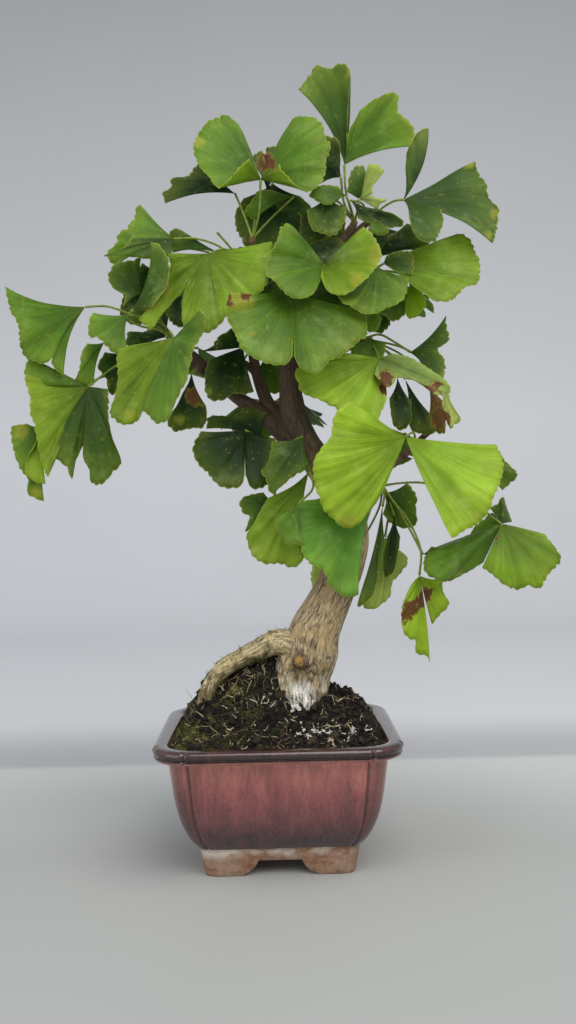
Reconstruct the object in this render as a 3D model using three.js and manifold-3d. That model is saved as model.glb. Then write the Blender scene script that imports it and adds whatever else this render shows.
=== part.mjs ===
// A ginkgo bonsai in its square glazed pot: pot, drain mesh, soil, the tree's wood, and its leafy shoots.
// Millimetres, +Z up. The origin is on the surface the pot stands on, under the middle of the pot.
// +X is to the right of the tree's front, and the front looks towards -Y.
import * as THREE from 'three';
import { mergeVertices } from 'three/addons/utils/BufferGeometryUtils.js';
import Module from 'manifold-3d';

const wasm = await Module();
wasm.setup();

// ---------------------------------------------------------------- driving dimensions

const GAP = 0.3; // clearance between pieces that touch

const POT = {
  height: 66,
  rim: { x: 60.5, y: 57, corner: 20, depth: 6.5, lip: 1.4 },
  body: [
    // height, half width, half depth, corner radius
    [59.5, 53.4, 49.4, 13],
    [47, 51.9, 48, 12],
    [37, 50.4, 46.5, 11],
    [27.5, 48, 44.2, 9.8],
    [19, 44, 40.4, 8.2],
    [13.5, 39.6, 36.6, 6.8],
  ],
  foot: { top: 13, x: 39, y: 36, bottomX: 37.3, bottomY: 34.3, corner: 6.5, wide: 6.5, high: 8 },
  inside: [
    // height, half width, half depth, corner radius
    [66, 53.4, 49.6, 13],
    [60, 49, 45.4, 11],
    [28, 43.6, 40.2, 8],
    [14, 33, 30, 6.5],
  ],
  floor: 14,
  groove: 0.9, // how far the upright grooves in each corner's arc are sunk
  archLow: 17.8,
  archHigh: 10.6,
  drain: 7,
};

const JOIN = { shortest: 0.012, thinnest: 0.002 }; // edges and faces kept where solids are joined

const MESH = { half: 12, thick: 1, hole: 3.2, pitch: 5.2 };

const BLADE = {
  thick: 0.72,
  sector: 17, // length of rim that each sector of the fan spans
  fewest: 2,
  most: 6,
  tooth: 0.035, // how far the rim's notches reach in, as a share of the vein
  flare: 0.8,
  straight: 3.3, // radians of fan from which on the sides are straight
  arch: 0.03, // how far the veins bow towards the upper face, as a share of their length
  archRange: 0.06,
};
const STALK = { radius: 0.85, stretch: 13, past: 0.8, guide: new THREE.Vector3(0.3, 1, 0.2) };
const FAN = { points: 8, spread: 1.05, cleft: 0.3, curl: 0.16, hang: 48 };
const HUB = { foot: 1.6, top: 1.9, length: 3.6 };

// The crown is laid out as it is seen from an eye in front of the pot. A point [across, up, behind] is
// where it is seen on the upright plane through the pot's middle, and how far behind that plane it lies.
const EYE = { away: 521, up: 180 };

const COLOURS = {
  glaze: 0x7e4442,
  mesh: 0x2c2f33,
  soil: 0x2b2119,
  bark: 0x9c8a6c,
  leaf: 0x6d9a2c,
};

// ---------------------------------------------------------------- small helpers

const V = (x, y, z) => new THREE.Vector3(x, y, z);

function sight([across, up, behind]) {
  const spread = (EYE.away + behind) / EYE.away;
  return V(across * spread, behind, EYE.up + (up - EYE.up) * spread);
}

function randomFrom(seed) {
  let state = seed >>> 0;
  return () => {
    state = (state + 0x6d2b79f5) >>> 0;
    let t = Math.imul(state ^ (state >>> 15), 1 | state);
    t = (t + Math.imul(t ^ (t >>> 7), 61 | t)) ^ t;
    return ((t ^ (t >>> 14)) >>> 0) / 4294967296;
  };
}

function geometryFrom(points, triangles) {
  const geometry = new THREE.BufferGeometry();
  const places = points.flatMap((p) => [p.x, p.y, p.z]);
  geometry.setAttribute('position', new THREE.Float32BufferAttribute(places, 3));
  geometry.setIndex(triangles);
  return geometry;
}

function toSolid(geometry) {
  const bare = geometry.clone();
  bare.deleteAttribute('normal');
  bare.deleteAttribute('uv');
  const merged = mergeVertices(bare, 1e-5);
  return new wasm.Manifold(
    new wasm.Mesh({
      numProp: 3,
      vertProperties: new Float32Array(merged.attributes.position.array),
      triVerts: new Uint32Array(merged.index.array),
    }),
  );
}

const touching = (faces, vertex) => new Set(faces.filter((face) => face.includes(vertex)).flat());

function faceHeight(points, [a, b, c]) {
  const [p, q, r] = [points[a], points[b], points[c]];
  const longest = Math.max(p.distanceTo(q), q.distanceTo(r), r.distanceTo(p));
  return q.clone().sub(p).cross(r.clone().sub(p)).length() / longest;
}

// A join can leave an edge too short to keep. Its two ends are brought together.
function withoutShortEdge(points, faces) {
  for (const face of faces) {
    for (let k = 0; k < 3; k++) {
      const [kept, gone] = [face[k], face[(k + 1) % 3]];
      if (points[kept].distanceTo(points[gone]) >= JOIN.shortest) continue;
      const others = touching(faces, gone);
      if ([...touching(faces, kept)].filter((v) => others.has(v)).length !== 4) continue;
      return faces
        .map((each) => each.map((v) => (v === gone ? kept : v)))
        .filter(([a, b, c]) => a !== b && b !== c && c !== a);
    }
  }
  return null;
}

// A join can leave a face that is nearly a line. It trades its longest edge for the other diagonal of
// itself and its neighbour.
function withoutSliver(points, faces) {
  for (const face of faces) {
    const height = faceHeight(points, face);
    if (height >= JOIN.thinnest) continue;
    for (let k = 0; k < 3; k++) {
      const [from, to, apex] = [face[k], face[(k + 1) % 3], face[(k + 2) % 3]];
      const length = points[from].distanceTo(points[to]);
      if ([from, to].some((v) => points[apex].distanceTo(points[v]) > length)) continue;
      const beside = faces.find((f) => [0, 1, 2].some((i) => f[i] === to && f[(i + 1) % 3] === from));
      const far = beside.find((v) => v !== from && v !== to);
      if (touching(faces, apex).has(far)) continue;
      const swapped = [[from, far, apex], [far, to, apex]];
      if (Math.min(...swapped.map((f) => faceHeight(points, f))) <= height) continue;
      return [...faces.filter((f) => f !== face && f !== beside), ...swapped];
    }
  }
  return null;
}

// Faces that hang together, the largest group only: loose scraps that a join leaves are dropped.
function largestBody(faces) {
  let rest = faces;
  let best = [];
  while (rest.length > best.length) {
    const reached = new Set(rest[0]);
    let count = 0;
    while (reached.size > count) {
      count = reached.size;
      for (const face of rest) if (face.some((v) => reached.has(v))) face.forEach((v) => reached.add(v));
    }
    const body = rest.filter((face) => reached.has(face[0]));
    if (body.length > best.length) best = body;
    rest = rest.filter((face) => !reached.has(face[0]));
  }
  return best;
}

function fromSolid(solid) {
  const { vertProperties, triVerts } = solid.getMesh();
  const points = [];
  for (let i = 0; i < vertProperties.length; i += 3) points.push(V(...vertProperties.subarray(i, i + 3)));
  let faces = [];
  for (let i = 0; i < triVerts.length; i += 3) faces.push([...triVerts.subarray(i, i + 3)]);
  faces = largestBody(faces);
  const mended = () => withoutShortEdge(points, faces) ?? withoutSliver(points, faces);
  for (let next = faces; next; next = mended()) faces = next;
  const used = [...new Set(faces.flat())];
  const place = new Map(used.map((vertex, i) => [vertex, i]));
  const geometry = geometryFrom(used.map((vertex) => points[vertex]), faces.flat().map((v) => place.get(v)));
  geometry.computeVertexNormals();
  return geometry;
}

const joined = (geometries) => geometries.map(toSolid).reduce((whole, piece) => whole.add(piece));

// Closed skin over rings of equally many points, each ring fanned to a pole at both ends.
function skinRings(rings, firstPole, lastPole) {
  const count = rings[0].length;
  const points = [firstPole, ...rings.flat(), lastPole];
  const triangles = [];
  const at = (ring, i) => 1 + ring * count + (i % count);
  for (let i = 0; i < count; i++) {
    triangles.push(0, at(0, i + 1), at(0, i));
    for (let ring = 0; ring < rings.length - 1; ring++) {
      triangles.push(at(ring, i), at(ring, i + 1), at(ring + 1, i + 1));
      triangles.push(at(ring, i), at(ring + 1, i + 1), at(ring + 1, i));
    }
    triangles.push(points.length - 1, at(rings.length - 1, i), at(rings.length - 1, i + 1));
  }
  return geometryFrom(points, triangles);
}

// ---------------------------------------------------------------- pot

// The points of a corner's arc, in degrees, and whether the outline is sunk into a groove there.
const CORNER = [[90], [84], [78, true], [72], [45], [18], [12, true], [6], [0]];
const SIDE_POINT = 0.45; // where each straight side has a point, as a share of the way to the arc

// A rounded square, counter-clockwise from the right, with a groove near both ends of each corner's arc.
function potOutline(halfX, halfY, corner, groove, z) {
  const points = [];
  const quarters = [
    [1, -1, false],
    [1, 1, true],
    [-1, 1, false],
    [-1, -1, true],
  ];
  for (const [sx, sy, fromSide] of quarters) {
    const cx = halfX - corner;
    const cy = halfY - corner;
    const quarter = [[cx * SIDE_POINT, halfY]];
    for (const [degrees, sunk] of CORNER) {
      const angle = THREE.MathUtils.degToRad(degrees);
      const radius = corner - (sunk ? groove : 0);
      quarter.push([cx + radius * Math.cos(angle), cy + radius * Math.sin(angle)]);
    }
    quarter.push([halfX, cy * SIDE_POINT]);
    if (fromSide) quarter.reverse();
    for (const [x, y] of quarter) points.push(V(sx * x, sy * y, z));
  }
  return points;
}

function potRings() {
  const { foot, rim, height, groove, body, inside } = POT;
  const innerFootX = foot.bottomX - foot.wide;
  const innerFootY = foot.bottomY - foot.wide;
  const rings = [
    potOutline(innerFootX, innerFootY, foot.corner, 0, foot.high),
    potOutline(innerFootX, innerFootY, foot.corner, 0, 0),
    potOutline(foot.bottomX, foot.bottomY, foot.corner, groove / 2, 0),
    potOutline(foot.x, foot.y, foot.corner, groove / 2, foot.top),
  ];
  for (const [z, x, y, corner] of [...body].reverse()) rings.push(potOutline(x, y, corner, groove, z));
  const under = height - rim.depth;
  const lipCorner = rim.corner - rim.lip;
  rings.push(potOutline(rim.x - rim.lip, rim.y - rim.lip, lipCorner, groove, under));
  rings.push(potOutline(rim.x, rim.y, rim.corner, groove, under + rim.lip));
  rings.push(potOutline(rim.x, rim.y, rim.corner, groove, height - rim.lip));
  rings.push(potOutline(rim.x - rim.lip, rim.y - rim.lip, lipCorner, groove, height));
  for (const [z, x, y, corner] of inside) rings.push(potOutline(x, y, corner, 0, z));
  return rings;
}

// The bracket arch between two feet, as a prism across the whole pot.
function archPrism(turn) {
  const { archLow, archHigh, foot } = POT;
  const reach = 60;
  const shape = new THREE.Shape();
  shape.moveTo(-archLow, -1);
  shape.lineTo(archLow, -1);
  shape.lineTo(archLow, 0.6);
  shape.quadraticCurveTo(archHigh + 1, foot.high * 0.45, archHigh, foot.high - 0.6);
  shape.lineTo(-archHigh, foot.high - 0.6);
  shape.quadraticCurveTo(-archHigh - 1, foot.high * 0.45, -archLow, 0.6);
  shape.closePath();
  const prism = new THREE.ExtrudeGeometry(shape, { depth: 2 * reach, bevelEnabled: false, curveSegments: 3 });
  prism.rotateX(Math.PI / 2);
  prism.translate(0, reach, 0);
  prism.rotateZ(turn);
  return prism;
}

function makePot() {
  const rings = potRings();
  const shell = skinRings(rings, V(0, 0, POT.foot.high), V(0, 0, POT.floor));
  const drill = new THREE.CylinderGeometry(POT.drain, POT.drain, 20, 16);
  drill.rotateX(Math.PI / 2);
  drill.translate(0, 0, POT.foot.high);
  const cut = [archPrism(0), archPrism(Math.PI / 2), drill];
  return fromSolid(cut.reduce((solid, tool) => solid.subtract(toSolid(tool)), toSolid(shell)));
}

// ---------------------------------------------------------------- drain mesh

function makeDrainMesh() {
  const { half, thick, hole, pitch } = MESH;
  const plate = new THREE.BoxGeometry(2 * half, 2 * half, thick);
  plate.translate(0, 0, POT.floor + GAP + thick / 2);
  let solid = toSolid(plate);
  for (let column = -1; column <= 1; column++) {
    for (let row = -1; row <= 1; row++) {
      const cutter = new THREE.BoxGeometry(hole, hole, 8);
      cutter.translate(column * pitch, row * pitch, POT.floor);
      solid = solid.subtract(toSolid(cutter));
    }
  }
  return fromSolid(solid);
}

// ---------------------------------------------------------------- soil

// Height of the mound's ridge along the pot, from left to right.
const RIDGE = [
  [-56, 65],
  [-50, 72],
  [-44, 79],
  [-36, 87],
  [-28, 93],
  [-18, 98.5],
  [-8, 103],
  [0, 103.5],
  [8, 95],
  [16, 87],
  [28, 86],
  [36, 83],
  [44, 77],
  [50, 71.5],
  [56, 65],
];
const MOUND = { edge: 64.6, crestY: 4, steep: 1.45, lump: 1.3 };

function along(table, x) {
  if (x <= table[0][0]) return table[0][1];
  for (let i = 1; i < table.length; i++) {
    const [x1, y1] = table[i];
    const [x0, y0] = table[i - 1];
    if (x <= x1) return y0 + ((y1 - y0) * (x - x0)) / (x1 - x0);
  }
  return table[table.length - 1][1];
}

// The mound rises from the rim's inner edge to its ridge, steeply at the sides and softer in front.
function moundHeight(x, y) {
  const span = POT.inside[0][2];
  const crest = MOUND.crestY;
  const rise = y < crest ? (y + span) / (crest + span) : (span - y) / (span - crest);
  const slope = Math.pow(THREE.MathUtils.clamp(rise, 0, 1), y < crest ? MOUND.steep : 0.9);
  const lumps = Math.sin(0.41 * x + 1.3) * Math.cos(0.37 * y) + Math.sin(0.0253 * x * y);
  return MOUND.edge + (along(RIDGE, x) - MOUND.edge + MOUND.lump * lumps) * slope;
}

// The pot's inside outline at any height between its stated ones, drawn in by a clearance.
function insideOutline(z, clearance) {
  const upper = POT.inside.findLastIndex(([height]) => height >= z);
  const [z1, ...high] = POT.inside[upper];
  const [z0, ...low] = POT.inside[upper + 1];
  const [x, y, corner] = high.map((value, i) => THREE.MathUtils.mapLinear(z, z0, z1, low[i], value));
  return potOutline(x - clearance, y - clearance, corner, 0, z);
}

function makeSoil(hole) {
  const rings = [POT.floor + GAP, 28, 60, MOUND.edge].map((z) => insideOutline(z, GAP + 0.2));
  const edge = rings[rings.length - 1];
  for (const share of [0.93, 0.8, 0.64, 0.48, 0.32, 0.16]) {
    rings.push(edge.map((p) => V(p.x * share, p.y * share, moundHeight(p.x * share, p.y * share))));
  }
  const body = skinRings(rings, V(0, 0, POT.floor + GAP), V(0, 0, moundHeight(0, 0)));
  const room = MESH.half + GAP;
  const pocket = new THREE.BoxGeometry(2 * room, 2 * room, 2 * (MESH.thick + 2 * GAP));
  pocket.translate(0, 0, POT.floor + GAP);
  return fromSolid(toSolid(body).subtract(toSolid(pocket)).subtract(hole));
}

// ---------------------------------------------------------------- wood

// The wood grew as one piece: the trunk, its roots, branches, twigs and the short spurs that bear shoots.
const LIMBS = {
  trunk: {
    sides: 9, steps: 20, relief: 0.05, route: [
      [13, 50, 1, 9], [13, 66, 0, 13], [14, 80, 0, 11.8], [16, 92, 1, 12.2], [18, 104, 1, 14],
      [20.5, 115, 1, 13], [25.5, 125, 1, 11.4], [31, 136, 1, 10.4], [37, 150, 2, 9.8], [40, 165, 3, 9.2],
      [36, 182, 4, 8.6], [26, 199, 4, 8], [16.5, 214, 3, 7.4], [11, 232, 2, 6.2], [9.8, 252, 3, 4.9],
      [13, 272, 6, 4.2], [20, 290, 8, 3.7], [28, 302, 8, 3.3], [36, 313, 6, 2.9], [41, 320, 5, 2.4],
      [44, 325, 5, 1.9],
    ],
  },
  archedRoot: {
    sides: 6, steps: 9, relief: 0.03, route: [
      [13, 104, 0, 8], [2, 109.5, -2, 6.6], [-9, 105.5, -3, 5.3], [-19, 101, -3, 4.7], [-27, 96.6, -3, 4.4],
      [-33, 90.6, -4, 4], [-37, 82, -5, 3.6], [-40, 74, -6, 3], [-41.5, 66, -7, 2.4],
    ],
  },
  leftButtress: {
    sides: 6, steps: 3, relief: 0.04, route: [
      [12, 108, 0, 8], [7.5, 95, -1, 8.5], [7.5, 80, -4, 8.5], [9.5, 66, -4, 8],
    ],
  },
  backRightRoot: {
    sides: 5, steps: 5, route: [
      [16, 86, 6, 7], [28, 81, 16, 5], [37, 74, 24, 3.6], [42, 62, 28, 2.6],
    ],
  },
  backLeftRoot: {
    sides: 5, steps: 5, route: [
      [12, 88, 8, 7], [2, 90, 18, 5], [-8, 84, 27, 3.8], [-14, 70, 32, 2.6],
    ],
  },
  frontRoot: { sides: 5, steps: 3, route: [[10, 76, -6, 7], [2, 66, -14, 4.5], [-6, 56, -20, 3]] },
  prunedStub: {
    sides: 7, steps: 2, route: [
      [14, 99, -6, 4.4], [11.2, 98.6, -15.5, 3.4], [11, 98.6, -17, 2.2],
    ],
  },
  leftArm: {
    sides: 6, steps: 7, relief: 0.03, route: [
      [12, 212, 3, 6], [3, 221, 4, 4.8], [-9, 231, 6, 3.9], [-20, 239, 8, 3.2], [-31, 250, 9, 2.7],
      [-40, 259, 9, 2.3], [-46, 264, 8, 1.9],
    ],
  },
  farLeftTwig: {
    sides: 5, steps: 3, route: [
      [-38, 257, 9, 2.2], [-47, 254.5, 13, 1.9], [-57, 254, 15, 1.7],
    ],
  },
  lowLeftSpur: { sides: 5, steps: 1, route: [[-33, 251, 9, 2.2], [-37, 251.5, 3, 1.7]] },
  innerUpright: {
    sides: 5, steps: 6, route: [
      [4, 222, 5, 4.4], [-2, 234, 7, 3.4], [-7, 248, 9, 2.8], [-10, 268, 11, 2.4], [-11, 290, 10, 2.1],
      [-9, 306, 7, 1.9], [-8.3, 317, 4, 1.8],
    ],
  },
  leftMidSpur: {
    sides: 5, steps: 2, route: [
      [-11, 292, 10, 2.2], [-13, 300, 11, 1.9], [-14.5, 305, 11, 1.7],
    ],
  },
  innerLeftSpur: { sides: 5, steps: 1, route: [[-7.5, 250, 9, 2.3], [-12, 253.5, 9, 1.8]] },
  centreSpur: { sides: 5, steps: 1, route: [[12.5, 276, 6, 2.6], [12.2, 281, -2, 1.8]] },
  centreTopSpur: { sides: 5, steps: 1, route: [[28.5, 302, 8, 2.6], [29.4, 303.6, -0.5, 1.8]] },
  lowerLeftSpur: { sides: 5, steps: 2, route: [[18, 210, 2, 4], [12.5, 207, -6, 2.4], [8, 207, -9.5, 1.8]] },
  rightTopBranch: {
    sides: 5, steps: 4, route: [
      [14, 274, 7, 3], [26, 282, 10, 2.5], [40, 293, 11, 2.1], [52, 300.5, 9, 1.8],
    ],
  },
  rightMidBranch: {
    sides: 5, steps: 4, route: [
      [11, 250, 4, 3.4], [24, 254, 10, 2.7], [38, 261, 12, 2.2], [47, 265.5, 11, 1.8],
    ],
  },
  rightLowTwig: {
    sides: 5, steps: 5, route: [
      [33, 187, 5, 4.4], [44, 192, 8, 3], [54, 196, 9, 2.3], [63, 201, 9, 2], [70, 206.6, 8, 1.8],
      [73, 209.5, 7, 1.7],
    ],
  },
  lowRightSpur: { sides: 5, steps: 1, route: [[50, 194, 9, 2.2], [55, 191, 9.5, 1.8]] },
  outerTwig: { sides: 5, steps: 3, route: [[68, 205, 8.5, 1.7], [78, 214, 12, 1.5], [88, 222, 15, 1.4]] },
  apexSpur: { sides: 5, steps: 2, route: [[39, 317, 5.5, 2.5], [46, 322, 11, 2], [51, 326, 12, 1.8]] },
  backLowBranch: {
    sides: 5, steps: 3, route: [
      [22, 205, 5, 5], [17, 212, 14, 3.4], [8, 222, 22, 2.6], [2, 232, 27, 1.9],
    ],
  },
  backMidBranch: {
    sides: 5, steps: 3, route: [
      [10, 244, 3, 3.8], [14, 256, 14, 2.8], [16, 270, 23, 2.2], [15, 280, 28, 1.9],
    ],
  },
  backRightBranch: {
    sides: 5, steps: 3, route: [
      [35, 182, 5, 4.6], [44, 192, 14, 3], [52, 204, 22, 2.3], [57, 214, 27, 1.9],
    ],
  },
  backLeftBranch: {
    sides: 5, steps: 3, route: [
      [-22, 241, 8, 2.8], [-34, 250, 18, 2.3], [-46, 262, 26, 1.9],
    ],
  },
  backTopRightBranch: {
    sides: 5, steps: 3, route: [
      [27, 284, 10, 2.3], [42, 289, 20, 2.1], [56, 294, 27, 1.8],
    ],
  },
  backTopLeftBranch: {
    sides: 5, steps: 3, route: [
      [-11, 288, 10, 2], [-12, 300, 18, 1.9], [-14, 312, 24, 1.8],
    ],
  },
  backTopBranch: { sides: 5, steps: 3, route: [[24, 296, 8, 2.8], [22, 310, 18, 2.2], [20, 324, 25, 1.8]] },
};

const limbCurve = ({ route }) => new THREE.CatmullRomCurve3(route.map(sight), false, 'centripetal');

// A limb is a tapering round bar along a curve, its surface drawn into bark ridges. Each point of its
// route is [across, up, behind, radius]. extra widens the whole limb, for the hole it stands in.
function limb({ route, sides, steps, relief = 0.02 }, extra) {
  const curve = limbCurve({ route });
  const frames = curve.computeFrenetFrames(steps, false);
  const rings = [];
  for (let k = 0; k <= steps; k++) {
    const centre = curve.getPointAt(k / steps);
    const share = curve.getUtoTmapping(k / steps) * (route.length - 1);
    const index = Math.min(Math.floor(share), route.length - 2);
    const radius = THREE.MathUtils.lerp(route[index][3], route[index + 1][3], share - index);
    const ring = [];
    for (let i = 0; i < sides; i++) {
      const angle = (2 * Math.PI * i) / sides;
      const ridge = Math.sin(3 * angle + 0.7 * k) + 0.6 * Math.cos(5 * angle - 0.45 * k);
      const r = radius * (1 + relief * ridge) + extra;
      const across = frames.normals[k].clone().multiplyScalar(r * Math.cos(angle));
      const over = frames.binormals[k].clone().multiplyScalar(r * Math.sin(angle));
      ring.push(centre.clone().add(across).add(over));
    }
    rings.push(ring);
  }
  const start = curve.getPointAt(0).addScaledVector(frames.tangents[0], -extra);
  const end = curve.getPointAt(1).addScaledVector(frames.tangents[steps], extra);
  return skinRings(rings, start, end);
}

const wood = (extra) => joined(Object.values(LIMBS).map((each) => limb(each, extra)));

// ---------------------------------------------------------------- leaves

// The way that points lie from the leaf's base, on the whole.
function middleOf(foot, points) {
  const sum = V(0, 0, 0);
  for (const p of points) sum.add(p.clone().sub(foot).normalize());
  return sum.normalize();
}

// How far a leaf's veins lean towards its middle where they leave its base. The narrower its blades are
// together, the more they lean, and the hollower are the sides of the leaf.
function leanOf(foot, blades) {
  const wide = blades.reduce((sum, rim) => {
    const [first, last] = [rim[0], rim[rim.length - 1]].map((p) => p.clone().sub(foot));
    return sum + first.angleTo(last);
  }, 0);
  return BLADE.flare * THREE.MathUtils.clamp(1 - wide / BLADE.straight, 0, 1);
}

// A blade is a fan of arched veins from the leaf's base to its rim. Rim points run clockwise round the
// base as the upper face is seen.
function blade(foot, rim, { middle, lean, arch }, draw) {
  const edge = new THREE.CatmullRomCurve3(rim, false, 'centripetal');
  const wanted = Math.round(edge.getLength() / BLADE.sector);
  const sectors = THREE.MathUtils.clamp(wanted, BLADE.fewest, BLADE.most);
  const ends = edge.getSpacedPoints(2 * sectors);
  const spokes = ends.map((p) => p.sub(foot));
  const face = V(0, 0, 0);
  for (let i = 0; i < 2 * sectors; i++) face.add(spokes[i + 1].clone().cross(spokes[i]));
  face.normalize();
  const inner = [];
  const outer = [];
  spokes.forEach((spoke, i) => {
    const tooth = i > 0 && i < 2 * sectors ? 1 + BLADE.tooth * (draw() - 0.6) : 1;
    const tip = spoke.clone().multiplyScalar(tooth);
    outer.push(foot.clone().add(tip));
    if (i % 2) return;
    const length = spoke.length();
    const lead = spoke.clone().normalize().lerp(middle, lean).setLength(length / 2);
    lead.addScaledVector(face, arch * length);
    inner.push(foot.clone().addScaledVector(lead, 0.5).addScaledVector(tip, 0.25));
  });
  return bladeMesh(foot, inner, outer, face);
}

// The two faces of a blade, half its thickness to each side and split alike, with a wall round the edge.
// The middle row has one point for every second point of the rim.
function bladeMesh(foot, inner, outer, face) {
  const half = BLADE.thick / 2;
  const normalAt = (row, i, from) => {
    const along = row[Math.min(i + 1, row.length - 1)].clone().sub(row[Math.max(i - 1, 0)]);
    const across = along.cross(row[i].clone().sub(from)).normalize();
    return across.addScaledVector(face, 0.4).normalize();
  };
  const places = [
    [foot, face],
    ...inner.map((p, i) => [p, normalAt(inner, i, foot)]),
    ...outer.map((p, i) => [p, normalAt(outer, i, inner[Math.floor(i / 2)])]),
  ];
  const points = [1, -1].flatMap((side) => places.map(([p, n]) => p.clone().addScaledVector(n, side * half)));
  const mid = (i) => 1 + i;
  const rim = (i) => 1 + inner.length + i;
  const under = places.length;
  const sheet = [];
  for (let i = 0; i < inner.length - 1; i++) {
    sheet.push([0, mid(i + 1), mid(i)]);
    sheet.push([mid(i), rim(2 * i + 1), rim(2 * i)]);
    sheet.push([mid(i), mid(i + 1), rim(2 * i + 1)]);
    sheet.push([mid(i + 1), rim(2 * i + 2), rim(2 * i + 1)]);
  }
  const triangles = sheet.flatMap(([a, b, c]) => [a, b, c, under + a, under + c, under + b]);
  const edge = [0, mid(0), ...outer.map((_, i) => rim(i)), mid(inner.length - 1), 0];
  for (let i = 0; i < edge.length - 1; i++) {
    const [a, b] = [edge[i], edge[i + 1]];
    triangles.push(a, b, under + b, a, under + b, under + a);
  }
  return geometryFrom(points, triangles);
}

// A leaf stalk: a thin bar from the middle of its shoot's hub along its route, ending just past the
// blades' base so that they start inside it.
function stalk(hub, route) {
  const curve = new THREE.CatmullRomCurve3([hub, ...route], false, 'centripetal');
  const points = curve.getSpacedPoints(Math.max(1, Math.round(curve.getLength() / STALK.stretch)));
  points[points.length - 1].addScaledVector(curve.getTangent(1), STALK.past);
  const last = points.length - 1;
  const rings = points.map((p, k) => {
    const tangent = points[Math.min(k + 1, last)].clone().sub(points[Math.max(k - 1, 0)]).normalize();
    const across = tangent.clone().cross(STALK.guide).normalize();
    const over = tangent.clone().cross(across);
    return [0, 1, 2].map((i) => {
      const angle = (2 * Math.PI * i) / 3;
      const out = across.clone().multiplyScalar(Math.cos(angle)).addScaledVector(over, Math.sin(angle));
      return p.clone().addScaledVector(out, STALK.radius);
    });
  });
  return skinRings(rings, points[0], points[last]);
}

// The short green crown that a shoot's stalks grow from. Its flat end faces the spur's tip.
function bud(foot, aim) {
  const crown = new THREE.CylinderGeometry(HUB.top, HUB.foot, HUB.length, 6);
  crown.translate(0, HUB.length / 2, 0);
  crown.applyQuaternion(new THREE.Quaternion().setFromUnitVectors(V(0, 1, 0), aim));
  crown.translate(foot.x, foot.y, foot.z);
  return crown;
}

function makeShoot({ on, leaves = [], fans = [] }, seed) {
  const draw = randomFrom(seed);
  const spur = limbCurve(LIMBS[on]);
  const aim = spur.getTangentAt(1);
  const foot = spur.getPointAt(1).addScaledVector(aim, GAP);
  const hub = foot.clone().addScaledVector(aim, HUB.length * 0.6);
  const pieces = [bud(foot, aim)];
  for (const { route, blades } of [...leaves, ...fans.map((each) => fanLeaf(hub, each))]) {
    const base = route[route.length - 1];
    const middle = middleOf(base, blades.flat());
    const form = { middle, lean: leanOf(base, blades), arch: BLADE.arch + BLADE.archRange * draw() };
    pieces.push(stalk(hub, route));
    for (const rim of blades) pieces.push(blade(base, rim, form, draw));
  }
  return joined(pieces);
}

// A leaf drawn as it is seen: its stalk's route, ending at its base, and the rim of each of its blades.
const leaf = (route, ...blades) => ({ route: route.map(sight), blades: blades.map((rim) => rim.map(sight)) });

// A leaf given by its bearing from straight back (degrees, to the right), its stalk's climb, the stalk's
// length and the blade's. The blade hangs lower than its stalk, its outer corners curl down, and a cleft
// parts its two lobes.
function fanLeaf(hub, [bearing, climb, reach, size]) {
  const turn = THREE.MathUtils.degToRad(bearing);
  const towards = (rise) => {
    const angle = THREE.MathUtils.degToRad(rise);
    return V(Math.sin(turn) * Math.cos(angle), Math.cos(turn) * Math.cos(angle), Math.sin(angle));
  };
  const base = hub.clone().addScaledVector(towards(climb), reach);
  const middle = towards(climb - FAN.hang);
  const side = V(Math.cos(turn), -Math.sin(turn), 0);
  const face = side.clone().cross(middle);
  const rim = [];
  for (let k = 0; k <= FAN.points; k++) {
    const share = (2 * k) / FAN.points - 1;
    const angle = share * FAN.spread;
    const cleft = 1 - FAN.cleft * Math.exp(-((share / 0.1) ** 2));
    const point = base.clone().addScaledVector(middle, size * cleft * Math.cos(angle));
    point.addScaledVector(side, size * cleft * Math.sin(angle));
    point.addScaledVector(face, -FAN.curl * size * share * share);
    rim.push(point);
  }
  return { route: [base], blades: [rim] };
}

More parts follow.
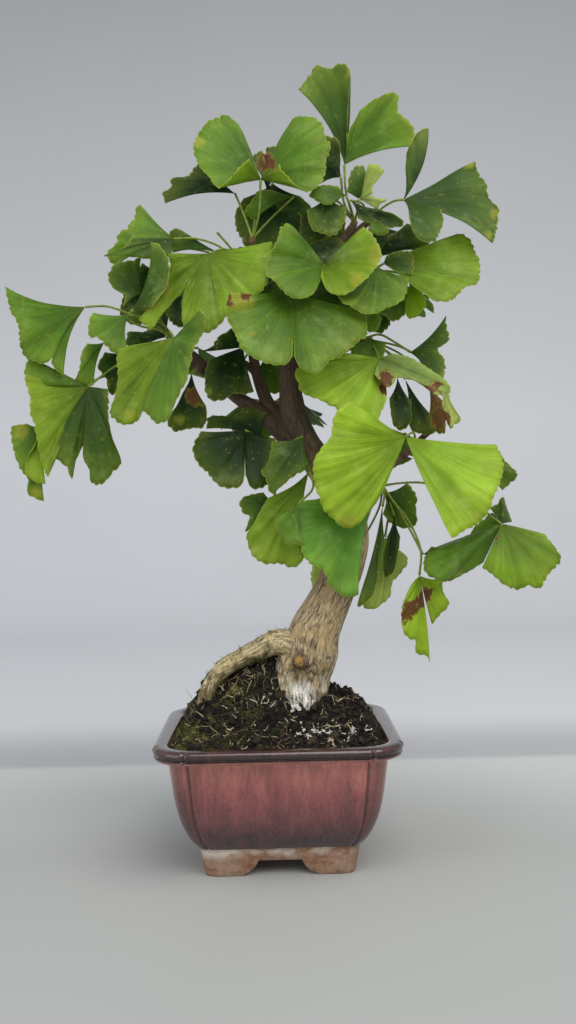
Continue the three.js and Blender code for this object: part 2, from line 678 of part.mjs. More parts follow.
const SHOOTS = [
  {
    name: 'leaves_apex', on: 'trunk', leaves: [
      leaf([[41, 343, 0], [40.5, 357, 2]],
        [[42, 372, 3], [43, 392, 5], [44, 407, 6], [40, 410, 8], [33, 407.5, 12], [27, 409, 14],
          [20, 401, 14], [17, 397, 14]],
        [[75, 366, -6], [77.5, 374, -6], [72.5, 382, -4], [69.5, 386, -2], [69, 393, 0], [62, 393, 2],
          [54, 389.5, 4], [48, 383, 5], [42, 372, 3]]),
      leaf([[38, 337, 0], [31, 341, -4]],
        [[20.5, 334, -8], [21, 327, -9], [24, 322, -9], [30, 321, -8], [35, 320, -7], [39, 324, -5],
          [42, 335, -3]]),
      leaf([[43, 336, -1], [41, 341, -3]],
        [[36, 338, -6], [32, 336, -9], [26, 338, -10], [21.5, 341.5, -10], [24, 345, -9], [29, 347, -7],
          [37, 346, -4]]),
      leaf([[47, 334, 0], [48, 339, -1]],
        [[41.5, 343, -3], [42, 350, -4], [45, 355, -4], [49, 357.5, -4], [51.5, 355, -3], [51, 348, -3]],
        [[55, 342, -5], [55.5, 347, -7], [58, 350, -8], [61.5, 354, -9], [59, 356, -9], [54, 357.5, -8],
          [51, 350, -5]],
        [[53, 341, 2], [57, 339.5, 2], [62, 338.5, 2], [59, 336, 2], [57, 333.5, 2]]),
      leaf([[40, 337, 3], [38.5, 350.5, 2]],
        [[38.5, 360, 0], [37.5, 371, 0], [31.5, 372.5, 1], [27.5, 366, 2], [25, 355.5, 3], [28, 347.5, 3]]),
      leaf([[41, 331.5, 9], [33.5, 336.5, 11]],
        [[41, 331.5, 12], [39.5, 322, 12], [36.5, 313.5, 12], [29, 310, 11.5], [21.5, 311.5, 11],
          [17, 318.5, 10.5], [17, 332, 10.5]]),
    ],
  },
  {
    name: 'leaves_apex_right', on: 'apexSpur', leaves: [
      leaf([[60, 334.5, 8], [66.5, 338, 4], [71, 338.5, 2]],
        [[72.5, 352, 2], [73, 363, 2], [76, 369, 3], [80, 374.5, 4], [84, 376, 6], [84, 371, 8]],
        [[109, 358.5, 8], [111.5, 354, 6], [115, 348, 4], [117, 340, 2], [121, 334, 0], [120, 328, -3],
          [119, 320, -8], [117, 315, -12]],
        [[91, 333, -8], [91, 325, -10], [88, 316.5, -12], [83, 316, -12], [77, 320, -11], [74, 327, -8],
          [73.5, 333, -4]]),
      leaf([[50, 336, 8], [43.5, 338.5, -5]],
        [[47, 329, -8], [52, 327, -9], [57, 327.5, -10], [62, 323.5, -10], [67, 323.5, -10], [71, 326, -10],
          [66, 330.5, -9], [58, 334, -7]]),
      leaf([[53, 330, 8]],
        [[58, 330, 6], [60.5, 326, 5], [63, 321.5, 4], [57, 320.5, 4], [52, 323, 4]]),
      leaf([[55.5, 328, 17]],
        [[71, 321.5, 16], [71.5, 313, 15], [65, 309, 15.5], [57, 311.5, 16], [51, 313.5, 15.5],
          [49, 319, 15]]),
    ],
  },
  {
    name: 'leaves_upper_left', on: 'innerUpright', leaves: [
      leaf([[-4.5, 332, 0], [-3.3, 350, -1]],
        [[-9, 361, -12], [-15, 357, -15], [-20, 351, -17], [-25, 346, -17]],
        [[-25, 346, -17], [-31, 351, -12], [-36.5, 359, -6], [-38, 367, 0], [-35, 376, 5], [-28, 382, 8],
          [-21, 385, 9], [-15, 380, 10], [-13, 368, 10]],
        [[21, 343, -18], [15, 346.5, -17], [10, 352, -15], [6.5, 358, -12]],
        [[9, 366, 6], [12.5, 378, 6], [16, 382, 5], [24, 382, 3], [29, 378, 0], [31.5, 371, -3],
          [34.5, 367, -6], [31.5, 360, -9], [30.5, 352, -12], [27, 346, -15], [21, 343, -18]]),
      leaf([[-12, 331, 4], [-16.7, 343, 7]],
        [[-53, 338, 12], [-54.5, 343.5, 13], [-50.5, 346, 14], [-50.5, 351, 14], [-43, 352, 14],
          [-37, 358.5, 16], [-30, 362, 18]]),
      leaf([[-6, 332, 8], [0, 344, 12]],
        [[-9, 360, 15], [-7, 363, 16], [-3, 365, 17], [0.5, 361, 17], [0, 367, 18], [5, 367.5, 18],
          [9.5, 366, 18], [12, 358, 16]]),
      leaf([[2, 330, 9], [14, 341, 8]],
        [[-7, 329, 6], [-12, 333, 5], [-9, 338.5, 5], [-5, 344.5, 6], [2, 345, 7]]),
      leaf([[-5, 331, 14], [3, 348, 15]],
        [[17, 341, 14], [23, 334.5, 14], [23.5, 322.5, 14], [17, 313, 14], [7.5, 312.5, 14],
          [3.5, 317, 14], [-1, 311.5, 14], [-11, 312.5, 14], [-15.5, 322, 14], [-17, 332.5, 14],
          [-12.5, 340.5, 14]]),
    ],
  },
  {
    name: 'leaves_centre_top', on: 'centreTopSpur', leaves: [
      leaf([[29, 305, -9]],
        [[50, 324.5, -14], [57, 318, -20], [59.5, 309, -25], [56, 302, -29], [49, 296, -31], [42, 291, -31],
          [36, 289.5, -30], [30, 292.5, -28], [27, 299, -24]],
        [[26.5, 297, -24], [23, 290.5, -28], [17, 287.5, -31], [11, 289, -33], [5, 295, -33],
          [-0.5, 302, -31], [0, 310, -28], [4, 319, -24], [7, 326, -19], [11, 327.5, -16], [15, 320, -12]],
        [[18, 311, 1], [20, 316, 3], [26, 318.5, 4], [33, 319, 4], [38.5, 317.5, 2], [41, 312.5, 0]]),
    ],
  },
  {
    name: 'leaves_left_mid', on: 'leftMidSpur', leaves: [
      leaf([[-22, 314, 2], [-31, 312, -8]],
        [[2, 317.5, -14], [3, 311, -17], [0, 304, -20], [1, 298, -22], [-3, 292, -24], [-12, 286, -25],
          [-20, 281, -25], [-24.5, 277, -25], [-31, 271, -24], [-38, 268, -23], [-44, 272, -21],
          [-46, 281, -18], [-46, 288, -15], [-43.5, 294, -13]],
        [[-46, 291, -13], [-57, 280, -14], [-63, 273, -14], [-68.5, 278.5, -13], [-60, 288, -9],
          [-54, 297, -8], [-52, 305, -7], [-52, 312, -6]]),
      leaf([[-26, 316, 8], [-38, 320, 6], [-49, 320, 4]],
        [[-85.5, 311.5, -6], [-78, 314, -5], [-74.5, 318.5, -4], [-71.5, 322.5, -2], [-73.5, 327, 0],
          [-70, 332, 2], [-68.5, 337, 4], [-66, 338, 5]],
        [[-50, 311.5, 0], [-60, 310, -4], [-70, 310.5, -7], [-80, 311, -9], [-85, 312, -9],
          [-76, 315.5, -7], [-71, 321, -5]]),
      leaf([[-36, 314, 12], [-54, 316, 12]],
        [[-79, 307, 8], [-83.5, 309.5, 8], [-84, 313.5, 8], [-78.5, 319, 8], [-78, 323.5, 9],
          [-75, 326, 10], [-70, 326, 11]]),
      leaf([[-20, 311, 9], [-26, 312.5, 8]],
        [[-50, 313, 8], [-51, 319, 8], [-50.5, 324.5, 8], [-47, 325.5, 8], [-41, 321.5, 8], [-37, 318, 8]]),
      leaf([[-33, 304, 7.5], [-56.5, 304, 11]],
        [[-61, 291.5, 11], [-58, 284.5, 10], [-65, 277, 10], [-72, 276, 9], [-77.5, 279.5, 9],
          [-76.5, 288.5, 9], [-73, 297, 10], [-71, 303, 10], [-65.5, 308, 11]]),
      leaf([[-28, 303.5, 10], [-43, 298.5, 7]],
        [[-33, 286, 3], [-36, 277, 2], [-42, 273.5, 1], [-49, 275, 3], [-54, 281, 5], [-56.5, 290, 6]]),
      leaf([[-8, 303, 13], [-3, 303, 13]],
        [[9, 300, 13], [10, 293, 13], [5, 287, 13], [-2, 286, 13], [-8, 288, 13], [-9, 294, 13]]),
      leaf([[-19, 314, 9], [-26.5, 323, 7]]),
    ],
  },
  {
    name: 'leaves_centre', on: 'centreSpur', leaves: [
      leaf([[12, 287, -8], [12, 292, -13]],
        [[50.5, 280, -20], [51, 270, -26], [46, 265, -30], [41, 260.5, -34], [32, 256, -38],
          [23, 248.5, -42], [16, 253, -42], [12.4, 258.5, -40]],
        [[11.9, 258.5, -40], [8, 253.5, -42], [0, 254.5, -42], [-8, 256.5, -41], [-16, 261, -40],
          [-19, 269, -38], [-23.5, 281, -35], [-21, 290.5, -33]]),
    ],
  },
  {
    name: 'leaves_inner_left', on: 'innerLeftSpur', leaves: [
      leaf([[-14.5, 263, 4]],
        [[-38, 261, 6], [-31, 263.5, 5], [-27, 269, 4], [-21, 273.5, 3], [-15, 275, 3]],
        [[-9, 240, -4], [-14, 238.5, -5], [-20, 238.5, -6], [-25, 235.5, -6], [-31, 235, -5],
          [-34.5, 240, -4], [-34.5, 248, -1], [-32, 256, 2]]),
      leaf([[-13, 258, 14], [-8, 263, 17], [-2, 262, 16]],
        [[10, 258, 16], [11, 249, 16], [7, 241, 16], [0, 238, 15], [-6, 241, 14.5], [-8, 250, 14]]),
    ],
  },
  {
    name: 'leaves_right_top', on: 'rightTopBranch', leaves: [
      leaf([[56, 304, -1]],
        [[73, 298, -10], [72.5, 290, -15], [68, 284.5, -20], [60, 282, -23], [55, 279.5, -26],
          [48, 280.5, -27], [41, 284, -27], [36, 289, -25], [38, 296, -19]]),
      leaf([[60, 305.5, 2]],
        [[99, 321.5, 2], [106, 318.5, 0], [108.5, 311, -3], [111, 302, -7], [110, 294.5, -10],
          [101, 291.5, -14], [96, 285, -17], [88, 285, -19], [82, 288, -19]],
        [[61.5, 309.5, 3], [66.5, 311.5, 1], [72.5, 311.5, -1], [76, 306.5, -4], [75, 299.5, -6],
          [70, 300, -5]]),
      leaf([[65, 301, 10], [73, 298, 8]],
        [[79.5, 290, 6], [82, 284, 5], [80, 279.5, 4], [75, 276.5, 3], [71, 278.5, 3], [71, 286, 4]]),
      leaf([[58, 298, 11], [63, 291, 10]],
        [[71.5, 286, 7], [71, 279, 5], [64.5, 274.5, 5], [60, 277, 5], [56, 281, 6]]),
      leaf([[53, 294, 9], [53, 286, 6]],
        [[58.5, 277, 2], [57, 272, 0], [53, 270, 0], [50.5, 272, 0], [50, 279, 1]]),
      leaf([[57, 292, 14], [59, 283, 13]],
        [[63, 277, 12], [62.5, 272, 12], [58, 268.5, 12], [54, 270, 12]]),
      leaf([[56, 308, 13]],
        [[62, 319.5, 12], [68, 322.5, 12], [74, 326.5, 12], [79, 319, 11], [84.5, 315, 10], [80, 312, 10]]),
      leaf([[57, 299, 4], [54, 294, 3], [46, 293.5, 3]],
        [[44, 283, 2], [36, 281, 2], [27, 283, 1.5], [21, 288, 1.5], [24, 296, 2], [32, 299, 3]]),
    ],
  },
  {
    name: 'leaves_right_mid', on: 'rightMidBranch', leaves: [
      leaf([[54, 262, 4], [56.7, 256, -3]],
        [[60, 241, -8], [58, 230, -12], [53.5, 221.5, -16], [44, 225, -20], [33, 229.5, -24],
          [24, 235.5, -27], [15.5, 240.5, -29], [13, 251, -29], [24, 254, -23], [40, 259, -12]],
        [[63.5, 258.5, -4], [74, 256, -8], [84, 249.5, -14], [93, 241.5, -18], [95, 237, -19],
          [85.5, 236.5, -19], [81.5, 240.5, -17], [73.5, 244, -14], [66, 245.5, -11], [60.5, 240, -15],
          [54, 248, -12]]),
      leaf([[62, 258, 8], [66, 246, 5]],
        [[73, 233, 1], [72.5, 222, -2], [68, 218, -3], [63.5, 221, -3], [61.5, 235, 0]]),
      leaf([[64, 257, 11], [70, 245, 10]],
        [[87, 222, 7], [86, 216, 6], [80, 216, 6], [73, 219, 6], [71.5, 228, 7]]),
      leaf([[68, 258, 14], [82, 243, 14]],
        [[91, 232, 13], [91, 224, 12], [90, 216, 11], [86, 217, 11], [82, 225, 12]]),
      leaf([[57, 268.5, 11], [64, 265, 9], [73, 259, 6]],
        [[92, 278, 9], [93.5, 272, 7], [94, 265.5, 5], [88, 260.5, 3], [90.5, 257, 1], [91, 251, -1],
          [89.5, 244, -3], [80, 250, -2]]),
      leaf([[53, 266.5, 6]],
        [[60.5, 264, 4], [59.5, 257, 3], [54, 252, 2], [47.5, 253.5, 2], [42.5, 257.5, 2], [42.5, 264, 3]]),
      leaf([[72, 260, 12], [89, 243, 3]],
        [[93.5, 236, 1], [93.5, 230, -1], [99, 224, -3], [96, 221, -3], [93.5, 218.5, -3], [91, 224, -2],
          [89, 232, 0]]),
    ],
  },
  {
    name: 'leaves_right_low', on: 'rightLowTwig', leaves: [
      leaf([[74, 217, 0], [69.5, 215, -9]],
        [[54, 181, -20], [45, 170, -25], [38, 167.5, -28], [32, 172.5, -31], [24, 179.5, -33],
          [20.5, 190, -34], [19.5, 197, -34], [24, 208, -34], [30, 215, -33], [33.5, 227, -31],
          [39, 234.5, -28], [45, 232, -25], [53, 222, -20]],
        [[117, 210.5, -14], [121, 204, -18], [120.5, 196, -22], [118, 186, -26], [114, 177, -30],
          [108, 170, -33], [101, 165, -35], [93, 162, -36]]),
      leaf([[84, 209, 6], [98, 203, 3]],
        [[119, 207, 4], [124, 199.5, 4], [128.5, 194, 3], [124, 189, 3], [119.5, 186, 3]]),
    ],
  },
  {
    name: 'leaves_low_right', on: 'lowRightSpur', leaves: [
      leaf([[57, 187, 3], [54, 184, -4]],
        [[44, 133, -16], [37, 132, -18], [31, 134.5, -20], [26, 144, -22], [18, 151, -24], [13.5, 160, -24],
          [12, 170, -23], [13, 181, -21], [25, 184, -16]]),
      leaf([[58, 185, 5], [57, 179, 1]],
        [[58, 160, -6], [55, 146, -9], [50, 131, -12], [46, 127.5, -13], [43, 127, -13], [46, 138, -12]]),
      leaf([[60, 183, 9], [63, 174, 5]],
        [[66, 163, 2], [64, 151, 0], [61.5, 143, -1], [58, 141, -1], [57, 152, -1], [59, 163, 1]]),
      leaf([[60, 178, 13], [58, 163, 12]],
        [[66, 155.5, 12], [69.5, 151.5, 12], [65.5, 143, 12], [61, 137, 12], [60, 132, 11], [53.5, 127, 11],
          [49, 125.5, 11], [45.5, 128, 11], [48, 140, 12]]),
      leaf([[59, 186, 9]],
        [[70, 191, 9], [75.5, 185, 8], [75, 176, 7], [74.5, 169, 7], [68, 166.5, 7], [61, 169, 7],
          [57, 175, 7]]),
      leaf([[63, 181, 3], [71, 170, -2], [76.5, 155, -8], [75.5, 142.5, -9]],
        [[88.5, 140.5, -9], [88.5, 133.5, -10], [91, 127, -10], [86.5, 122, -10], [81.5, 117.5, -10],
          [82, 125, -10], [80.5, 132, -10]],
        [[80, 97, -10], [78.5, 100, -11], [73, 101.5, -12], [73, 107.5, -13], [68.5, 110, -14],
          [66, 115.5, -15], [66, 123.5, -15], [67.5, 130, -15], [70.5, 136, -13], [73.5, 140.5, -11]]),
      leaf([[67, 174, 2], [77.5, 153.5, -9.5]],
        [[82, 157.5, -12], [89, 156.5, -14], [95, 159.5, -14], [101.5, 163, -12], [95.5, 155.5, -13],
          [89.5, 152, -14], [83, 150.5, -13]]),
      leaf([[68, 191, 7], [80, 190.5, 3], [98, 184, -2], [108, 177, -6], [119, 168.5, -14]],
        [[142, 163, -18], [148, 156, -21], [150, 149.5, -23], [145, 142, -25], [139, 133.5, -27],
          [132.5, 136.5, -27], [127, 134, -27], [118, 138, -26], [108.5, 146, -23]],
        [[113, 177, -5], [117, 180, -5], [120, 184, -4], [122, 177, -4], [124.5, 169.5, -6]],
        [[102.5, 160, -3], [102, 164, -3], [104.5, 167.5, -3], [110, 171.5, -4], [114, 175, -4],
          [116.5, 171.5, -5]],
        [[109, 148.5, -12], [92.5, 139.5, -18], [86, 139.5, -22], [79.5, 144, -21], [78, 150.5, -17],
          [82, 156, -8]]),
      leaf([[55, 178, 18], [42, 157, 19], [33, 151, 18]],
        [[25, 137, 15], [20, 136, 15], [18, 143, 15], [20, 150, 15]]),
    ],
  },
  {
    name: 'leaves_lower_left', on: 'lowerLeftSpur', leaves: [
      leaf([[-3, 214, -9], [-14, 220, -5]],
        [[2, 215, -10], [2, 206, -13], [0, 197, -16], [-4, 190, -18], [-11, 189.5, -18], [-14.1, 196, -17]],
        [[-14.7, 196, -17], [-17, 190.5, -18], [-26, 190, -18], [-32, 195.5, -16], [-39, 203, -14],
          [-42, 210, -12], [-37, 220, -8]]),
      leaf([[0, 213, -5], [-5, 216, -1]],
        [[-34, 221, 3], [-33, 227, 3], [-20, 228, 2], [-12, 232, 1], [-2, 229, 0]]),
      leaf([[8, 212, -14], [16, 216, -16]],
        [[20, 200, -20], [16, 197, -22], [9, 194, -23], [3, 188.5, -24], [-2, 185, -24], [-4, 191.5, -24],
          [-6, 198, -23], [-3, 202, -21], [0, 214, -18]]),
      leaf([[12, 202, -12], [19, 198, -12]],
        [[16, 163, -20], [15.5, 153, -22], [9, 147, -23], [2, 150, -23], [-5, 149.5, -22], [-9, 151, -22],
          [-14, 158, -20], [-15, 164, -19], [-9, 174, -17], [-3, 184, -15]]),
      leaf([[15, 203, -17], [21, 190, -21], [13, 181, -23]],
        [[16, 159, -28], [11, 160, -29], [6, 160, -29], [2.5, 166, -28], [1, 172, -27], [5, 176, -26]]),
      leaf([[4, 200, -10], [0, 183, -10]],
        [[-11, 170, -12], [-15, 166.5, -12], [-13.5, 174, -11], [-17, 177, -10], [-17, 184.5, -10],
          [-5, 187.5, -10]]),
    ],
  },
  {
    name: 'leaves_left_arm', on: 'leftArm', leaves: [
      leaf([[-52, 272, -4], [-50, 268.5, -22]],
        [[-35.5, 283, -30], [-33, 280, -30], [-34, 272, -30], [-38.5, 265, -30], [-42, 257, -31],
          [-44, 246, -33], [-50, 236, -34], [-54, 227, -35], [-61, 224.5, -34], [-66.8, 230, -34],
          [-67.4, 235, -32]],
        [[-67.9, 235, -32], [-69, 229, -33], [-76, 223.5, -31], [-84.5, 229.5, -28], [-81, 240, -26],
          [-80, 250, -23], [-79, 263, -20]]),
      leaf([[-58, 274.5, 2], [-72, 281, 0], [-84, 285.5, 0], [-95.5, 285.5, 0]],
        [[-107.5, 249.5, -8], [-114, 255, -9], [-110.5, 264, -9], [-116.3, 256, -9], [-123.5, 257.5, -8],
          [-129, 262.5, -6], [-131.5, 270, -4], [-132, 276.5, -2], [-134.5, 284, 1], [-137.5, 293, 5],
          [-137, 297.5, 7]]),
      leaf([[-58, 273, 1], [-67, 275, -1], [-73.5, 279, -6], [-71, 283.5, -12]],
        [[-61, 284, -15], [-57, 289, -16], [-53, 295, -16], [-51.5, 303, -16], [-53, 312, -15],
          [-57, 318, -13], [-61, 318.5, -12]]),
      leaf([[-58, 280, 8], [-66, 292, 6]],
        [[-76, 285, 2], [-75.5, 290.5, 2], [-81, 295, 2], [-83.5, 301, 2], [-80, 306.5, 2], [-72, 310, 3],
          [-66, 311, 4]]),
      leaf([[-58, 277, 3], [-73, 281, -5]],
        [[-74.5, 265, -10], [-78, 260.5, -12], [-82.5, 262, -13], [-89, 270.5, -14], [-93, 270, -12],
          [-94.5, 276, -11], [-92, 282, -9], [-84, 281, -6]]),
      leaf([[-54, 269, 9]],
        [[-66, 264, 9], [-75, 265, 9], [-74, 272, 9], [-65, 272, 10], [-60, 281, 11], [-53, 290, 12],
          [-44, 297, 12]]),
    ],
  },
  {
    name: 'leaves_far_left', on: 'farLeftTwig', leaves: [
      leaf([[-68, 255, 12], [-79, 255, 7], [-87, 250, 2], [-95, 244, -2]],
        [[-127, 245, -8], [-127.5, 253, -7], [-126, 260, -6], [-118, 255, -5], [-107.5, 249, -3]],
        [[-127.5, 251, -10], [-126, 236, -14], [-123, 220, -16], [-119.5, 207, -17], [-117, 197, -17],
          [-115, 209, -15], [-110, 222, -11]],
        [[-92, 228, -4], [-98, 214, -7], [-102, 206, -9], [-104.5, 196, -10], [-107, 202, -11],
          [-111, 205.5, -11], [-114.5, 210, -12], [-112, 217, -11], [-106, 228, -8]],
        [[-84.5, 243, 0], [-84.5, 232, -3], [-83, 218, -6], [-78.5, 203, -9], [-83, 197.5, -10],
          [-89, 192, -11], [-94.5, 195, -11], [-95, 201, -10], [-98.5, 209, -9], [-92.5, 226, -5]]),
      leaf([[-70, 253, 14], [-90, 248, 9], [-106, 238, 6], [-118, 223, 0]],
        [[-119, 185, -6], [-122, 186, -6], [-127.5, 190, -6], [-127, 196, -5], [-130, 200, -4],
          [-133.5, 207, -3], [-135.5, 215, -2], [-135.5, 224.5, 0], [-127, 225.5, 1]],
        [[-118, 194, -9], [-122.5, 195, -9], [-128, 201, -8], [-127.5, 207, -7], [-124, 212, -6]]),
      leaf([[-72, 260, 12], [-86, 267, 4]],
        [[-92, 245, -1], [-96, 243.5, -2], [-102, 245.5, -2], [-100, 252, -2], [-98.5, 260, -1],
          [-95, 266.5, 1]]),
      leaf([[-67, 259, 16], [-76, 262, 12]],
        [[-79, 242, 9], [-83, 239.5, 9], [-86, 247, 9], [-90, 254, 9], [-86, 262, 9]]),
    ],
  },
  {
    name: 'leaves_left_low', on: 'lowLeftSpur', leaves: [
      leaf([[-41, 250, 0]],
        [[-34, 233, -3], [-33.5, 226, -4], [-36, 221, -5], [-43, 221.5, -6], [-51, 220, -6],
          [-54.5, 225, -6], [-50, 232, -5], [-46, 240, -3]]),
    ],
  },
  {
    name: 'leaves_back_low', on: 'backLowBranch',
    fans: [[-78, 12, 13, 26], [-28, 2, 10, 24], [24, 20, 11, 25], [82, 8, 13, 23]],
  },
  {
    name: 'leaves_back_mid', on: 'backMidBranch',
    fans: [[-70, 18, 12, 25], [-12, 0, 10, 26], [46, -8, 11, 23]],
  },
  {
    name: 'leaves_back_right', on: 'backRightBranch',
    fans: [[-64, 10, 12, 24], [-10, 0, 10, 25], [42, 18, 11, 25], [86, 4, 13, 24]],
  },
  {
    name: 'leaves_back_left', on: 'backLeftBranch',
    fans: [[-64, 6, 13, 24], [-8, 16, 11, 26], [56, 4, 12, 24]],
  },
  {
    name: 'leaves_back_top_right', on: 'backTopRightBranch',
    fans: [[-20, 3, 10, 25], [31, 19, 11, 25], [82, 3, 12, 24]],
  },
  {
    name: 'leaves_back_top_left', on: 'backTopLeftBranch',
    fans: [[-80, 2, 12, 24], [-26, 14, 11, 25], [24, 0, 10, 23]],
  },
  {
    name: 'leaves_back_top', on: 'backTopBranch',
    fans: [[-46, 2, 10, 23], [6, 12, 11, 25], [66, 4, 12, 24]],
  },
];

// ---------------------------------------------------------------- assembly

const finish = (color, roughness) => new THREE.MeshStandardMaterial({ color, roughness, metalness: 0 });

function piece(name, geometry, material) {
  const mesh = new THREE.Mesh(geometry, material);
  mesh.name = name;
  return mesh;
}

const leafFinish = finish(COLOURS.leaf, 0.5);
const bonsai = new THREE.Group();
bonsai.add(piece('pot', makePot(), finish(COLOURS.glaze, 0.25)));
bonsai.add(piece('drain_mesh', makeDrainMesh(), finish(COLOURS.mesh, 0.6)));
bonsai.add(piece('soil', makeSoil(wood(GAP)), finish(COLOURS.soil, 0.95)));
bonsai.add(piece('tree', fromSolid(wood(0)), finish(COLOURS.bark, 0.9)));
SHOOTS.forEach((shoot, i) => {
  bonsai.add(piece(shoot.name, fromSolid(makeShoot(shoot, 11 + i)), leafFinish));
});

export default bonsai;
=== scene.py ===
"""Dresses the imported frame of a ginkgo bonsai: pot, soil with moss and litter, bark, leaves and stage.

Lengths in the tables are millimetres. The origin is under the middle of the pot, +Z is up, and the tree's
front looks towards -Y. Meshes are in metres, in the frame's own place.
"""

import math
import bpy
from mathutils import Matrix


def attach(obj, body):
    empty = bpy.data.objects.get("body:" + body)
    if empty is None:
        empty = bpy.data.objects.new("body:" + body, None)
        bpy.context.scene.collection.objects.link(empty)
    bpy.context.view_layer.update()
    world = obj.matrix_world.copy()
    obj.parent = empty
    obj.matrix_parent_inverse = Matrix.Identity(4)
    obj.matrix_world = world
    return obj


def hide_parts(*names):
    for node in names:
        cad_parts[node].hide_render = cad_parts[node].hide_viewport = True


bl_info = {
    "name": "Ginkgo Bonsai",
    "version": (1, 0, 0),
    "blender": (4, 5, 0),
    "location": "3D View > Sidebar > Bonsai",
    "description": "Pot, soil, moss, bark and leaves of a ginkgo bonsai, built around its packed frame",
    "category": "Add Mesh",
}

from functools import partial

import bpy
import numpy as np
from mathutils import Matrix, Vector

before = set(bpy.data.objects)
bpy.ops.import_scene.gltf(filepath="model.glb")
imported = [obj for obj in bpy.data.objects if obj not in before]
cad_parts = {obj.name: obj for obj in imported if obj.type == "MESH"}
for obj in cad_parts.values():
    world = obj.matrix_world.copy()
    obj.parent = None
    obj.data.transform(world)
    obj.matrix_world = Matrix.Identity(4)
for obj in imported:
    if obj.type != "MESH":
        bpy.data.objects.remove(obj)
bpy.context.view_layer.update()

MM = 0.001
GUIDE = np.array([0.3, 1, 0.2])  # a direction that no branch runs along, for turning rings round a path
MIDDLE = 180  # the height that places are spread out from, as they are seen from the eye
EYE = {"away": 521, "up": 179.5, "pitch": 0.28, "roll": -1.13, "yaw": 0.83, "lens": 35.16}

# Each branch's route, place by place: across, up and behind, as the tree is seen from its front, and
# radius.
LIMBS = {
    "trunk": "13 50 1 9, 13 66 0 13, 14 80 0 11.8, 16 92 1 12.2, 18 104 1 14, 20.5 115 1 13, "
             "25.5 125 1 11.4, 31 136 1 10.4, 37 150 2 9.8, 40 165 3 9.2, 36 182 4 8.6, 26 199 4 8, "
             "16.5 214 3 7.4, 11 232 2 6.2, 9.8 252 3 4.9, 13 272 6 4.2, 20 290 8 3.7, 28 302 8 3.3, "
             "36 313 6 2.9, 41 320 5 2.4, 44 325 5 1.9",
    "archedRoot": "13 104 0 8, 2 109.5 -2 6.6, -9 105.5 -3 5.3, -19 101 -3 4.7, -27 96.6 -3 4.4, "
                  "-33 90.6 -4 4, -37 82 -5 3.6, -40 74 -6 3, -41.5 66 -7 2.4",
    "leftButtress": "12 108 0 8, 7.5 95 -1 8.5, 7.5 80 -4 8.5, 9.5 66 -4 8",
    "backRightRoot": "16 86 6 7, 28 81 16 5, 37 74 24 3.6, 42 62 28 2.6",
    "backLeftRoot": "12 88 8 7, 2 90 18 5, -8 84 27 3.8, -14 70 32 2.6",
    "frontRoot": "10 76 -6 7, 2 66 -14 4.5, -6 56 -20 3",
    "prunedStub": "14 99 -6 4.4, 11.2 98.6 -15.5 3.4, 11 98.6 -17 2.2",
    "leftArm": "12 212 3 6, 3 221 4 4.8, -9 231 6 3.9, -20 239 8 3.2, -31 250 9 2.7, -40 259 9 2.3, "
               "-46 264 8 1.9",
    "farLeftTwig": "-38 257 9 2.2, -47 254.5 13 1.9, -57 254 15 1.7",
    "lowLeftSpur": "-33 251 9 2.2, -37 251.5 3 1.7",
    "innerUpright": "4 222 5 4.4, -2 234 7 3.4, -7 248 9 2.8, -10 268 11 2.4, -11 290 10 2.1, "
                    "-9 306 7 1.9, -8.3 317 4 1.8",
    "leftMidSpur": "-11 292 10 2.2, -13 300 11 1.9, -14.5 305 11 1.7",
    "innerLeftSpur": "-7.5 250 9 2.3, -12 253.5 9 1.8",
    "centreSpur": "12.5 276 6 2.6, 12.2 281 -2 1.8",
    "centreTopSpur": "28.5 302 8 2.6, 29.4 303.6 -0.5 1.8",
    "lowerLeftSpur": "18 210 2 4, 12.5 207 -6 2.4, 8 207 -9.5 1.8",
    "rightTopBranch": "14 274 7 3, 26 282 10 2.5, 40 293 11 2.1, 52 300.5 9 1.8",
    "rightMidBranch": "11 250 4 3.4, 24 254 10 2.7, 38 261 12 2.2, 47 265.5 11 1.8",
    "rightLowTwig": "33 187 5 4.4, 44 192 8 3, 54 196 9 2.3, 63 201 9 2, 70 206.6 8 1.8, 73 209.5 7 1.7",
    "lowRightSpur": "50 194 9 2.2, 55 191 9.5 1.8",
    "outerTwig": "68 205 8.5 1.7, 78 214 12 1.5, 88 222 15 1.4",
    "apexSpur": "39 317 5.5 2.5, 46 322 11 2, 51 326 12 1.8",
    "backLowBranch": "22 205 5 5, 17 212 14 3.4, 8 222 22 2.6, 2 232 27 1.9",
    "backMidBranch": "10 244 3 3.8, 14 256 14 2.8, 16 270 23 2.2, 15 280 28 1.9",
    "backRightBranch": "35 182 5 4.6, 44 192 14 3, 52 204 22 2.3, 57 214 27 1.9",
    "backLeftBranch": "-22 241 8 2.8, -34 250 18 2.3, -46 262 26 1.9",
    "backTopRightBranch": "27 284 10 2.3, 42 289 20 2.1, 56 294 27 1.8",
    "backTopLeftBranch": "-11 288 10 2, -12 300 18 1.9, -14 312 24 1.8",
    "backTopBranch": "24 296 8 2.8, 22 310 18 2.2, 20 324 25 1.8",
}

